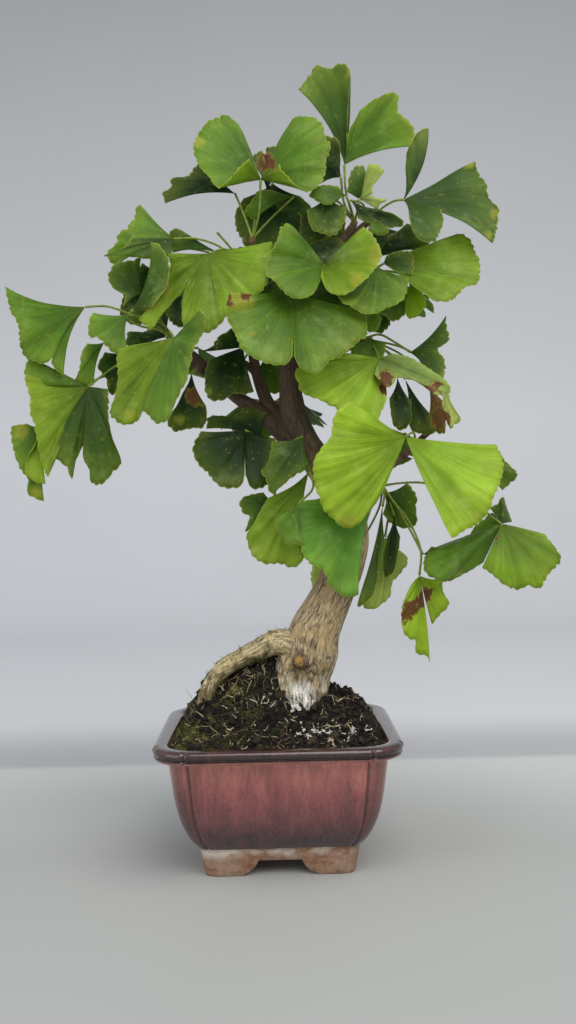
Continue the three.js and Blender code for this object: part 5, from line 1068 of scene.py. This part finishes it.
def make_moss(s):
    """Thousands of short spikes that stand off the soil and the old roots in clumps, thickest and
    freshest below the arched root and down to the left."""
    rng = np.random.default_rng(41)

    def chance(x, y):
        place = np.stack([x, y, 0 * x], -1)
        left = np.maximum(0.9 * ease(10, -46, x + 0.25 * y), 1.15 * under_root(x, y))
        return ease(0.53, 0.63, noise(place, 7, 8, 2) + 0.22 * left - 0.06) * (0.2 + 0.8 * left)

    def damp(points, normals):
        x, z, up = points[:, 0], points[:, 2], normals[:, 2]
        sheltered = ((up > 0.5) & (x < -2)) | (x < -26) | ((up < -0.1) & (x < 0)) | (z < 84)
        return (z < 117) & (z > 66) & (noise(points, 7, 9) > 0.4) & sheltered

    soil = scattered(s.tufts, chance, rng)
    wood, out = on_wood(s.tufts // 3, damp, rng)
    base = np.vstack([soil, wood])
    on_soil = np.arange(len(base)) < len(soil)
    aim = np.vstack([unit(np.array([0, 0, 1]) + 0.012 * soil * [1, 1, 0]), out])
    aim = unit(aim + np.where(on_soil, 0.5, 0.9)[:, None] * rng.normal(size=aim.shape))
    tall = rng.uniform(0.7, 2.2, len(base)) * (0.7 + 0.6 * noise(base, 6, 3)) * np.where(on_soil, 1, 0.6)
    wide = rng.uniform(0.14, 0.28, len(base))
    points, faces = spikes(base - 0.2 * aim, aim, tall, wide, rng)
    light = 0.22 + 0.3 * ease(-20, -46, base[:, 0]) + 0.9 * under_root(base[:, 0], base[:, 1])
    light = np.clip(light + 0.5 * ease(82, 92, base[:, 2]), 0, 1)
    fresh = ease(0.36, 0.64, noise(base, 9, 12, 2)) * light + rng.normal(0, 0.14, len(base))
    colour = blended(s.moss_dark, s.moss, np.clip(fresh, 0, 1))
    shape = Shape()
    shape.add(points, faces, tint=np.repeat(tinted(colour), 4, 0))
    settle(shape.build("moss", [litter_material("living_moss", 0.75, 900)]), "potting_soil")


def strands(start, heading, tall, wide, lift, rng):
    """Thin crooked threads: seven places along a path that turns a little at each step and ends sharp,
    with a triangle carried along it. Threads with a lift of 0 follow the mound."""
    steps = 7
    angle = heading[:, None] + rng.normal(0, 0.42, (len(start), steps)).cumsum(1)
    step, lift = (tall / (steps - 1))[:, None], lift[:, None]
    x, y = (start[:, [i]] + np.c_[0 * tall, (part(angle) * step * (1 - lift * 0.5))[:, 1:].cumsum(1)]
            for i, part in enumerate((np.cos, np.sin)))
    x, y = np.clip(x, -52, 52), np.clip(y, -48, 48)
    rest = start[:, 2:] + lift * step * np.arange(steps) * rng.uniform(0.2, 1, (len(start), 1))
    ground = mound(x, y) + wide[:, None] * 0.6 + 0.35 * np.abs(np.sin(angle))
    path = np.stack([x, y, np.where(lift > 0, np.maximum(rest, ground), ground)], -1)
    tangent = unit(np.gradient(path, axis=1))
    across = unit(np.cross(tangent, [0.12, 0.2, 1]))
    taper = wide[:, None] * (1 - 0.75 * np.linspace(0, 1, steps) ** 2)
    points = path[:, :, None] + taper[:, :, None, None] * circle(across, np.cross(tangent, across), 3)
    caps = np.array([[2, 1, 0], [3 * steps - 3, 3 * steps - 2, 3 * steps - 1]])
    offset = np.arange(len(start))[:, None, None] * 3 * steps
    faces = [(offset + ring_faces(steps, 3)).reshape(-1, 4), (offset + caps).reshape(-1, 3)]
    return points.reshape(-1, 3), faces, 3 * steps


def crumbs(centre, size, rng):
    """Lumps with twenty faces: the corners of an icosahedron, each pushed in or out, squashed at random."""
    gold = (1 + 5 ** 0.5) / 2
    corners = np.array([
        (-1, gold, 0), (1, gold, 0), (-1, -gold, 0), (1, -gold, 0), (0, -1, gold), (0, 1, gold),
        (0, -1, -gold), (0, 1, -gold), (gold, 0, -1), (gold, 0, 1), (-gold, 0, -1), (-gold, 0, 1)])
    faces = np.array([
        (0, 11, 5), (0, 5, 1), (0, 1, 7), (0, 7, 10), (0, 10, 11), (1, 5, 9), (5, 11, 4), (11, 10, 2),
        (10, 7, 6), (7, 1, 8), (3, 9, 4), (3, 4, 2), (3, 2, 6), (3, 6, 8), (3, 8, 9), (4, 9, 5), (2, 4, 11),
        (6, 2, 10), (8, 6, 7), (9, 8, 1)])
    push = rng.uniform(0.62, 1.15, (len(centre), 12, 1))
    squash = rng.uniform(0.35, 1, (len(centre), 1, 3))
    turned = np.linalg.qr(rng.normal(size=(len(centre), 3, 3)))[0]
    turned *= np.sign(np.linalg.det(turned))[:, None, None]
    local = np.einsum("nij,nkj->nki", turned, unit(corners) * push * squash)
    points = centre[:, None] + local * size[:, None, None]
    return points.reshape(-1, 3), (np.arange(len(centre))[:, None, None] * 12 + faces).reshape(-1, 3)


def make_litter(s):
    """Crumbs of bark and grit, pale at the front right, and root fibres that lie about, stand in tufts of
    lichen and grow off the arched root."""
    rng = np.random.default_rng(77)
    even = scattered(s.crumbs, lambda x, y: 0.5 + 0 * x, rng)
    size = rng.uniform(0.5, 1.7, len(even)) ** 1.7 * np.where(rng.random(len(even)) < 0.08, 1.6, 1)
    right = np.exp(-(((even[:, 0] - 26) / 17) ** 2 + ((even[:, 1] + 32) / 12) ** 2))
    pale = rng.random(len(even)) < 0.02 + 0.75 * ease(0.56, 0.66, noise(even, 5, 33)) * right
    size[pale] = rng.uniform(0.35, 1.1, pale.sum())
    colour = blended(s.soil, s.soil_dry, rng.random(len(even)) ** 3.6)
    colour[pale] = blended(s.fibre, linear("#E1DFD7"), rng.random(pale.sum()))
    points, faces = crumbs(even + [0, 0, 0.25], size, rng)
    grit = Shape()
    grit.add(points, faces, tint=np.repeat(tinted(colour), 12, 0))
    fines = litter_material("bark_fines_and_grit", 0.85, 700)
    settle(grit.build("crumbs", [fines], sharp=30), "potting_soil")

    def rooted(points, normals):
        return (points[:, 0] < 6) & (points[:, 2] > 70) & (points[:, 2] < 118) & (normals[:, 2] > -0.3)

    lying = scattered(s.fibres, lambda x, y: 0.25 + 0.7 * under_root(x, y), rng)
    cluster = np.array(LICHEN, float)[rng.integers(0, len(LICHEN), s.fibres // 6)]
    cluster += rng.normal(0, 1.3, cluster.shape)
    grown, out = on_wood(s.fibres // 3, rooted, rng)
    start = np.vstack([lying, np.column_stack([cluster, mound(*cluster.T)]), grown])
    loose, tufted, hairs = len(lying), len(cluster), len(grown)
    heading = np.r_[rng.uniform(0, 2 * math.pi, loose + tufted),
                    np.arctan2(out[:, 1], out[:, 0]) + rng.normal(0, 0.7, hairs)]
    tall = np.r_[rng.uniform(2.5, 11, loose), rng.uniform(1.8, 4, tufted), rng.uniform(1.2, 4, hairs)]
    wide = np.r_[rng.uniform(0.12, 0.4, loose), rng.uniform(0.25, 0.5, tufted),
                 rng.uniform(0.1, 0.2, hairs)]
    lift = np.r_[np.where(rng.random(loose) < 0.3, 0.7, 0), rng.uniform(0.2, 0.9, tufted),
                 np.full(hairs, 0.9)]
    points, faces, each = strands(start, heading, tall, wide, lift, rng)
    shade = rng.random(len(start))
    shade[loose:loose + tufted] = 1
    colour = blended(s.soil_dry, s.fibre, ease(0.15, 0.9, shade))
    colour = blended(colour, linear("#E4E1D4"), ease(0.88, 1, shade))
    threads = Shape()
    threads.add(points, faces, tint=np.repeat(tinted(colour), each, 0))
    settle(threads.build("root_fibres", [litter_material("dead_root_fibre", 0.7, 1200)]), "potting_soil")


# ---------------------------------------------------------------- wood


def limb_path(name, spacing):
    """A branch's path, about so many millimetres between its points, and the radius at each."""
    knots = places(LIMBS[name])
    long = spline(sight(knots), [0])[1]
    path, _, t = spline(sight(knots), np.linspace(0, 1, max(4, int(long / spacing))))
    return path, np.interp(t, np.arange(len(knots)), knots[:, 3])


def nearest_limb(points):
    """For each point, the branch surface it is nearest to: the way along that branch, the way out from
    its path in two directions, and its radius and number."""
    best = np.full(len(points), 1e9)
    found = np.zeros((len(points), 5))
    for number, name in enumerate(LIMBS):
        path, radius = limb_path(name, 2.5)
        across, over = ring_axes(path)
        away = np.stack([np.linalg.norm(points - centre, axis=1) for centre in path], 1) - radius
        at = away.argmin(1)
        gap = away[np.arange(len(points)), at]
        near = gap < best
        best[near] = gap[near]
        out, at = points[near] - path[at[near]], at[near]
        tangent = np.cross(over[at], across[at])
        found[near] = np.stack([way_along(path)[at] - (out * tangent).sum(1), (out * across[at]).sum(1),
                                (out * over[at]).sum(1), radius[at], np.full(len(at), number)], 1)
    return found


def make_wood(s):
    """All branches as round bars merged into one skin of small cells, then drawn out into bark: winding
    cracks stretched along each branch, as deep as the branch is thick, and a lumpy crust low on the
    trunk. The colour runs from tan roots through the trunk to brown twigs, with moss, flakes, chalky
    crust and single marks."""
    bars = Shape()
    for name in LIMBS:
        path, radius = limb_path(name, 2.5)
        bars.add(*tube(path, radius + 0.18, 22))
    rough = bars.build("ginkgo_wood", [])
    merge = rough.modifiers.new("merge", "REMESH")
    merge.mode, merge.voxel_size = "VOXEL", s.voxel
    soften = rough.modifiers.new("soften", "SMOOTH")
    soften.factor, soften.iterations = 0.5, 6
    seen_from = bpy.context.evaluated_depsgraph_get()
    mesh = bpy.data.meshes.new_from_object(rough.evaluated_get(seen_from))
    rough.modifiers.clear()
    rough.data = mesh
    points, normals = skin_of(mesh)

    run, across, over, radius, number = nearest_limb(points).T
    place = np.stack([across, over, run * 0.17 + 31 * number], -1)
    wide, fine = (1 - np.abs(2 * noise(place, size, seed, 2) - 1) for size, seed in ((3.6, 21), (1.5, 22)))
    crack = np.clip(0.6 * ease(0.88, 0.99, wide) + 0.3 * ease(0.8, 0.97, fine), 0, 1)
    crust = ease(118, 92, points[:, 2]) * ease(5, 9, radius)
    depth = s.relief / MM * np.interp(radius, [1.4, 3, 6, 9], [0.12, 0.3, 0.65, 1])
    rise = depth * (0.35 - crack + 0.5 * (fine - 0.7)) + 2.2 * crust * (noise(points, 6, 24, 2) - 0.5)
    rise = rise + 0.4 * depth * (noise(points, 1.5, 25) - 0.5)
    mesh.vertices.foreach_set("co", ((points + normals * rise[:, None]) * MM).ravel())
    mesh.update()

    names = np.array(list(LIMBS))[number.astype(int)]
    is_root = np.char.find(names, "Root") >= 0
    is_twig = np.isin(names, ["rightLowTwig", "lowRightSpur", "outerTwig", "farLeftTwig"])
    trunk = blended(s.bark, s.bark_young, ease(176, 222, points[:, 2] + 12 * (noise(points, 9, 26) - 0.5)))
    colour = np.where(is_root[:, None], np.array(s.root), trunk)
    colour = blended(colour, s.twig, np.where(is_twig, 0.75, 0.35 * ease(3, 1.8, radius)))
    colour *= (0.86 + 0.3 * noise(points, 7, 27, 3))[:, None]
    damp = np.maximum(ease(96, 76, points[:, 2]), ease(0.3, -0.3, normals[:, 2]))
    for over_it, share in (
            ("#4E5232", 0.55 * ease(0.55, 0.72, noise(points, 8, 28, 2)) * ease(118, 84, points[:, 2])),
            ("#5A5A26", is_root * ease(0.4, 0.6, noise(points, 5, 32, 2)) * (0.2 + 0.6 * damp)),
            ("#5A4438", 0.55 * crust * ease(0.54, 0.64, noise(points, 2.6, 30, 2))),
            ("#E0D6BC", 0.5 * crust * ease(0.58, 0.7, noise(points, 4.6, 31, 2)))):
        colour = blended(colour, linear(over_it), share)
    ragged = 0.5 * (noise(points, 3, 29) - 0.5)
    for across_at, up_at, behind, reach, shade, share in WOOD_MARKS:
        far = np.linalg.norm(points - sight([(across_at, up_at, behind)]), axis=1)
        colour = blended(colour, linear(shade), share * ease(1.25, 0.7, far / reach + ragged))
    for key, value in (("tint", tinted(colour)), ("limb", place), ("crack", crack[:, None])):
        mark(mesh, key, value)
    mesh.shade_smooth()
    mesh.materials.append(bark_material(s))
    settle(rough, "bark", "tree")


# ---------------------------------------------------------------- leaves


def blade(shape, base, rim, form, colour, s, draw, turn):
    """A leaf blade: a fan of arched veins from the base to the rim, each vein the curve start, lead, tip.
    A lead leans towards the leaf's middle, so the leaf's sides are hollow. The rim is scalloped. Broad
    swells, pleats along the veins and ripples grow towards it, and a thin wall joins the two faces round the
    edge. The colour lightens outwards and in clouds, painted light and shade make it lighter on the pleats'
    crests and darker in their folds, and it turns to the margin's near the rim and the stalk."""
    middle, lean, arch, leaf = form
    edge = spline(rim, [0])[1]
    sectors = int(np.clip(round(edge / 17), 2, 6))
    spokes = spline(rim, np.linspace(0, 1, 2 * sectors + 1))[0] - base
    face = unit(np.cross(spokes[1:], spokes[:-1]).sum(0))
    teeth = [1, *(1 + 0.035 * (draw() - 0.6) for _ in range(2 * sectors - 1)), 1]

    columns = int(np.clip(edge / 1.1, 14, 96))
    share = np.linspace(0, 1, columns + 1)
    spokes = spline(rim, share)[0] - base
    reach = np.linalg.norm(spokes, axis=1)
    run = share * edge
    free = ease(0, 4, np.minimum(run, edge - run))
    lobes = np.abs(np.sin(math.pi * (run / 4.3 + 1.3 * wander(run, 11, turn)))) ** 0.55
    nicks = np.abs(np.sin(math.pi * (run / 1.9 + wander(run, 5, turn + 1)))) ** 0.7
    grow = 1.25 * (lobes - 0.82) + 0.35 * (nicks - 0.6) + 2.4 * (wander(run, 7, turn + 2) - 0.6)
    grow = s.tooth / MM * grow
    tips = spokes * (np.interp(share, np.linspace(0, 1, len(teeth)), teeth) + free * grow / reach)[:, None]
    lead = unit(unit(spokes) * (1 - lean) + middle * lean) * reach[:, None] / 2
    lead = lead + face * (arch * reach)[:, None]
    rows = int(np.clip(reach.mean() / 2.4, 6, 18))
    out = np.linspace(min(0.5, 0.7 / reach.mean()), 1, rows + 1)[:, None, None]
    sheet = base + 2 * out * (1 - out) * lead + out ** 2 * tips
    far = out[..., 0]
    swell = ease(0.05, 0.7, far) * (2 * noise(sheet, 17, leaf) - 1)
    folds = 2 * wander(run, 5.5, turn + 4) + 2.4 * wander(run, 12, turn + 6) - 2.2
    pleat = free * ease(0.1, 0.75, far) * folds
    ripple = free * far ** 2 * (2 * noise(sheet, 6.5, leaf + 1, 2) - 1)
    roll = ease(0.72, 1, far) * (2 * noise(sheet, 24, leaf + 2) - 1.25)
    relief = s.swell * swell + s.pleat * pleat + s.ripple * (ripple + roll)
    height = min(reach.mean() / 34, 1.2) * relief / MM
    sheet = sheet + face * height[..., None]

    normal = unit(np.cross(np.gradient(sheet, axis=1), np.gradient(sheet, axis=0)))
    half = s.thick / MM / 2 * (1.5 - 0.9 * out ** 0.5)
    points = np.concatenate([sheet + normal * half, sheet - normal * half])
    top = sheet_faces(rows + 1, columns + 1)
    below = len(points.reshape(-1, 3)) // 2
    grid = np.arange(below).reshape(rows + 1, columns + 1)
    border = np.r_[grid[0, :-1], grid[:-1, -1], grid[-1, :0:-1], grid[:0:-1, 0]]
    after = np.roll(border, -1)
    wall = np.stack([after, border, border + below, after + below], 1)

    fan = np.stack([run + 0 * far, far + 0 * run, (1 - far) * reach], -1)
    # painted light and shade: 0.16 * pleat makes the colour lighter on the pleats' crests and darker in
    # their folds
    level = 0.72 + 0.34 * ease(0.05, 1, far) + 0.42 * (noise(sheet, 12, leaf + 3, 2) - 0.5) + 0.16 * pleat
    paler = 0.26 * ease(0.55, 1, far) * wander(run, 14, turn + 5) + 0.12 * ease(0.12, 0, far)
    colour = blended(colour * level[..., None], s.margin, paler)
    tint, fan = (np.tile(value.reshape(below, -1), (2, 1)) for value in (tinted(colour), fan))
    shape.add(points, [top, top[:, ::-1] + below, wall], 0, tint=tint, fan=fan,
              marks=np.repeat([[0, 0, 0], [0, 0, 1]], below, 0))


def fan_leaf(hub, bearing, climb, reach, size):
    """Base and rim of a leaf of the back. Its blade hangs lower than its stalk, a cleft parts its two
    lobes and its outer corners curl down."""
    turn = math.radians(bearing)

    def towards(rise):
        rise = math.radians(rise)
        return np.array([math.sin(turn) * math.cos(rise), math.cos(turn) * math.cos(rise), math.sin(rise)])

    base, middle = hub + towards(climb) * reach, towards(climb - 48)
    side = np.array([math.cos(turn), -math.sin(turn), 0])
    share = np.linspace(-1, 1, 9)[:, None]
    cleft = size * (1 - 0.3 * np.exp(-((share / 0.1) ** 2)))
    swing = share * 1.05
    return base, base + cleft * (np.cos(swing) * middle + np.sin(swing) * side) - np.cross(side, middle) * (
        0.16 * size * share ** 2)


def bud(foot, aim):
    """The woody crown that a shoot's stalks grow from: a short barrel of ring scars along its axis."""
    up = np.linspace(0, 1, 15)[:, None]
    radius = (1.55 + 0.45 * np.sin(math.pi * up ** 0.8)) * (1 - 0.09 * (up * 7 % 1))
    radius = radius * np.where(up > 0.93, 0.7, 1)
    across = unit(np.cross(aim, GUIDE))
    rings = radius[..., None] * circle(across, np.cross(aim, across), 16)
    return closed(foot + aim * 3.7 * up[..., None] + rings)


def leaves_of(name):
    """A shoot's bearer and its leaves, each with its letters, its route or the four numbers of its
    stance, and its rims."""
    bearer, text = SHOOTS[name]
    leaves = [leaf.split(":") for leaf in text.split(";") if leaf.strip()]
    return bearer, [(letters.strip(), *map(places, fields)) for letters, *fields in leaves]


def make_leaves(s):
    """Every shoot as one piece: its bud, its stalks and its blades, coloured leaf by leaf in lit and shaded
    copies of the leaf green, as painted light and shade.
    """
    # painted light and shade: each letter picks a lit or shaded copy of the leaf green
    looks = {"p": s.pale, "b": s.bright, "l": s.light, "c": s.cool, "m": s.mid, "d": s.dark, "k": s.deep,
             "n": s.brown, "u": s.under}
    materials = [leaf_material(s), litter_material("green_leaf_stalk", 0.5, 500),
                 litter_material("bud_scales", 0.85, 900)]
    plain = {"fan": [[0, 0, 9]], "marks": [[0, 0, 0]]}
    for index, name in enumerate(SHOOTS):
        draw, rng = random_from(11 + index), np.random.default_rng(500 + index)
        bearer, leaves = leaves_of(name)
        path, _, _ = spline(sight(places(LIMBS[bearer])), [0, 0.995, 1])
        aim = unit(path[2] - path[1])
        foot = path[2] + aim * 0.3
        hub = foot + aim * 3.6 * 0.6
        shape = Shape()
        shape.add(*bud(foot - aim * 0.6, aim), 2, tint=[tinted(linear("#6E5A3C"))], **plain)
        for letters, route, *rims in leaves:
            if len(route[0]) == 4:
                base, rim = fan_leaf(hub, *route[0])
                line, rims = np.array([hub, base]), [rim]
            else:
                line = np.vstack([hub, sight(route)])
                base, rims = line[-1], [sight(rim) for rim in rims]
            long = spline(line, [0])[1]
            path, _, _ = spline(line, np.linspace(0, 1, max(5, int(long / 1.6))))
            from_hub = np.linspace(0, long, len(path))
            thick = 0.58 + 0.3 * np.exp(-from_hub / 2.5) + 0.12 * np.exp(-from_hub[::-1] / 3)
            points, faces = tube(path, thick, 9)
            green = blended(s.mid, s.margin, np.full(len(points), 0.35 + 0.2 * rng.random()))
            shape.add(points, faces, 1, tint=tinted(green), **plain)
            arms = [unit(rim - base) for rim in rims]
            middle = unit(np.vstack([*arms, [0, 0, 0]]).sum(0))
            wide = sum(math.acos(np.clip(arm[0] @ arm[-1], -1, 1)) for arm in arms)
            form = middle, 0.8 * min(max(1 - wide / 3.3, 0), 1), 0.03 + 0.06 * draw(), int(rng.integers(1e6))
            shade = rng.uniform(0.93, 1.07) * rng.uniform(0.97, 1.03, 3)
            for letter, rim in zip(letters, rims):
                blade(shape, base, rim, form, shade * looks[letter], s, draw, int(rng.integers(1e6)))
        points, marks = np.vstack(shape.points), np.vstack(shape.values["marks"])
        across, up = seen(points)
        for x, y, reach, kind in SPOTS.get(name, []):
            near = ease(1.3, 0.3, np.hypot(across - x, up - y) / reach) * (points[:, 1] < 30)
            column = 0 if kind == "scorch" else 1
            marks[:, column] = np.maximum(marks[:, column], near)
        shape.values["marks"] = [marks]
        settle(shape.build(name.replace("leaves", "foliage"), materials), "leaf", name)


# ---------------------------------------------------------------- stage


def stage_material(s):
    """Matt emulsion on a smooth board: even, with the faintest cloudiness. Painted light makes the table
    lighter towards its far edge, painted shadow dims the backdrop just behind that, and painted shade
    darkens the backdrop high up."""
    material, put, place = new_material("matt_emulsion", specular_ior_level=0.3)
    cloud = put("TexNoise", {"Vector": place, "Scale": 6, "Detail": 3})
    spread = put("SeparateXYZ", {0: place}, get=None)
    # painted shade: the backdrop darkens from wall to wall_top as it rises
    level = put("MapRange", {"Value": spread["Z"], "From Min": 0.35, "From Max": 1.25})
    upright = put("Mix", {0: level, 6: s.wall, 7: s.wall_top}, data_type="RGBA", get=2)
    # painted shadow: the backdrop dimmed just behind the table's far edge
    painted_shadow = put("MapRange", {"Value": spread["Y"], "From Min": 0.34, "From Max": 0.2, "To Min": 1,
                             "To Max": 0.68},
                interpolation_type="SMOOTHSTEP")
    shadowed_wall = put("HueSaturation", {"Color": upright, "Value": painted_shadow})
    # painted light: the table lightens towards its far edge
    painted_light = put("MapRange", {"Value": spread["Y"], "From Min": 0, "From Max": 0.17, "To Min": 1,
                              "To Max": 1.42})
    table = put("HueSaturation", {"Color": s.floor, "Value": painted_light})
    back = put("MapRange", {"Value": spread["Y"], "From Min": 0.176, "From Max": 0.19},
               interpolation_type="SMOOTHSTEP")
    paper = put("Mix", {0: back, 6: table, 7: shadowed_wall}, data_type="RGBA", get=2)
    faint = put("MapRange", {"Value": cloud, "From Min": 0.3, "From Max": 0.7, "To Min": 0.98})
    colour = put("HueSaturation", {"Color": paper, "Value": faint})
    rough = put("MapRange", {"Value": cloud, "To Min": 0.5, "To Max": 0.7})
    return finished(material, colour, rough)


def make_floor(s):
    """Table and backdrop in one sweep: flat, then a quarter circle, then upright, carried along X."""
    bend = np.linspace(0, math.pi / 2, 24)
    profile = np.array([(-1500, 0), *zip(900 + 500 * np.sin(bend), 500 - 500 * np.cos(bend)), (1400, 2600)])
    x = np.linspace(-2200, 2200, 3)
    points = np.stack([np.stack([x, 0 * x + y, 0 * x + z], -1) for y, z in profile])
    shape = Shape()
    shape.add(points, sheet_faces(len(profile), len(x)))
    shape.build("table_and_backdrop", [stage_material(s)])


def make_lamp(name, power, size, place, target, colour):
    lamp = bpy.data.lights.new(name, "AREA")
    lamp.energy, lamp.size, lamp.color = power, size, colour
    holder = bpy.data.objects.new(name, lamp)
    holder.location = place
    holder.rotation_euler = (Vector(target) - Vector(place)).to_track_quat("-Z", "Y").to_euler()
    bpy.context.scene.collection.objects.link(holder)


def make_camera():
    """The eye in front of the tree, level but for a fraction of a degree, as far off as the view's width
    asks."""
    pitch, roll, yaw = (math.radians(EYE[key]) for key in ("pitch", "roll", "yaw"))
    ahead = Vector((math.sin(yaw) * math.cos(pitch), math.cos(yaw) * math.cos(pitch), -math.sin(pitch)))
    right = Vector((math.cos(yaw), -math.sin(yaw), 0))
    up = right.cross(ahead)
    turned = math.cos(roll) * right + math.sin(roll) * up, math.cos(roll) * up - math.sin(roll) * right
    lens = bpy.data.cameras.new("eye")
    lens.sensor_fit, lens.sensor_height, lens.lens = "VERTICAL", 36, EYE["lens"]
    lens.clip_start, lens.clip_end = 0.01, 50
    holder = bpy.data.objects.new("eye", lens)
    holder.matrix_world = Matrix.Translation((0, -EYE["away"] * MM, EYE["up"] * MM)) @ Matrix(
        (*zip(turned[0], turned[1], -ahead),)).to_4x4()
    bpy.context.scene.collection.objects.link(holder)
    bpy.context.scene.camera = holder


def make_stage(s):
    make_floor(s)
    make_camera()
    make_lamp("key", s.key, 1.3, (0.45, -0.75, 1.25), (0, 0, 0.2), (1, 0.985, 0.96))
    make_lamp("fill", s.fill, 1.1, (-1.1, -0.7, 0.55), (0, 0, 0.2), (0.94, 0.97, 1))
    world = bpy.data.worlds.new("studio")
    world.use_nodes = True
    sky = world.node_tree.nodes["Background"]
    sky.inputs["Color"].default_value = (*s.sky, 1)
    sky.inputs["Strength"].default_value = s.sky_strength
    bpy.context.scene.world = world
    bpy.context.scene.view_settings.view_transform = "Standard"


# ---------------------------------------------------------------- operators


class BONSAI_OT_pot(bpy.types.Operator):
    """Build the glazed pot and finish the drain mesh"""

    bl_idname = "bonsai.pot"
    bl_label = "Pot"

    def execute(self, context):
        make_pot(context.scene.bonsai_pot)
        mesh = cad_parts["drain_mesh"]
        mesh.data.materials.clear()
        mesh.data.materials.append(plastic_material())
        return {"FINISHED"}


class BONSAI_OT_soil(bpy.types.Operator):
    """Build the mound of soil"""

    bl_idname = "bonsai.soil"
    bl_label = "Soil"

    def execute(self, context):
        make_soil(context.scene.bonsai_ground)
        return {"FINISHED"}


class BONSAI_OT_wood(bpy.types.Operator):
    """Merge the branches and roots and raise their bark"""

    bl_idname = "bonsai.wood"
    bl_label = "Wood"

    def execute(self, context):
        make_wood(context.scene.bonsai_wood)
        return {"FINISHED"}


class BONSAI_OT_cover(bpy.types.Operator):
    """Grow the moss and strew the litter, once soil and wood are built"""

    bl_idname = "bonsai.cover"
    bl_label = "Moss and litter"

    def execute(self, context):
        make_moss(context.scene.bonsai_ground)
        make_litter(context.scene.bonsai_ground)
        return {"FINISHED"}


class BONSAI_OT_leaves(bpy.types.Operator):
    """Build every leafy shoot"""

    bl_idname = "bonsai.leaves"
    bl_label = "Leaves"

    def execute(self, context):
        make_leaves(context.scene.bonsai_leaves)
        return {"FINISHED"}


class BONSAI_OT_stage(bpy.types.Operator):
    """Set up the table, the lamps and the camera"""

    bl_idname = "bonsai.stage"
    bl_label = "Stage"

    def execute(self, context):
        make_stage(context.scene.bonsai_stage)
        return {"FINISHED"}


class BONSAI_PT_panel(bpy.types.Panel):
    """Settings and makers of the bonsai"""

    bl_label = "Ginkgo Bonsai"
    bl_idname = "BONSAI_PT_panel"
    bl_space_type = "VIEW_3D"
    bl_region_type = "UI"
    bl_category = "Bonsai"

    def draw(self, context):
        for operator, group in STEPS.items():
            box = self.layout.box()
            settings = getattr(context.scene, group)
            for key in settings.__annotations__:
                box.prop(settings, key)
            box.operator(operator)


GROUPS = {"bonsai_pot": PotSettings, "bonsai_ground": GroundSettings, "bonsai_wood": WoodSettings,
          "bonsai_leaves": LeafSettings, "bonsai_stage": StageSettings}
STEPS = {"bonsai.stage": "bonsai_stage", "bonsai.pot": "bonsai_pot", "bonsai.soil": "bonsai_ground",
         "bonsai.wood": "bonsai_wood", "bonsai.cover": "bonsai_ground", "bonsai.leaves": "bonsai_leaves"}
CLASSES = [*GROUPS.values(), BONSAI_OT_pot, BONSAI_OT_soil, BONSAI_OT_wood, BONSAI_OT_cover,
           BONSAI_OT_leaves, BONSAI_OT_stage, BONSAI_PT_panel]


def register():
    for each in CLASSES:
        bpy.utils.register_class(each)
    for name, group in GROUPS.items():
        setattr(bpy.types.Scene, name, bpy.props.PointerProperty(type=group))


def unregister():
    for name in GROUPS:
        delattr(bpy.types.Scene, name)
    for each in reversed(CLASSES):
        bpy.utils.unregister_class(each)


def main():
    register()
    bpy.ops.bonsai.stage()
    bpy.ops.bonsai.pot()
    bpy.ops.bonsai.soil()
    bpy.ops.bonsai.wood()
    bpy.ops.bonsai.cover()
    bpy.ops.bonsai.leaves()


if __name__ == "__main__":
    main()
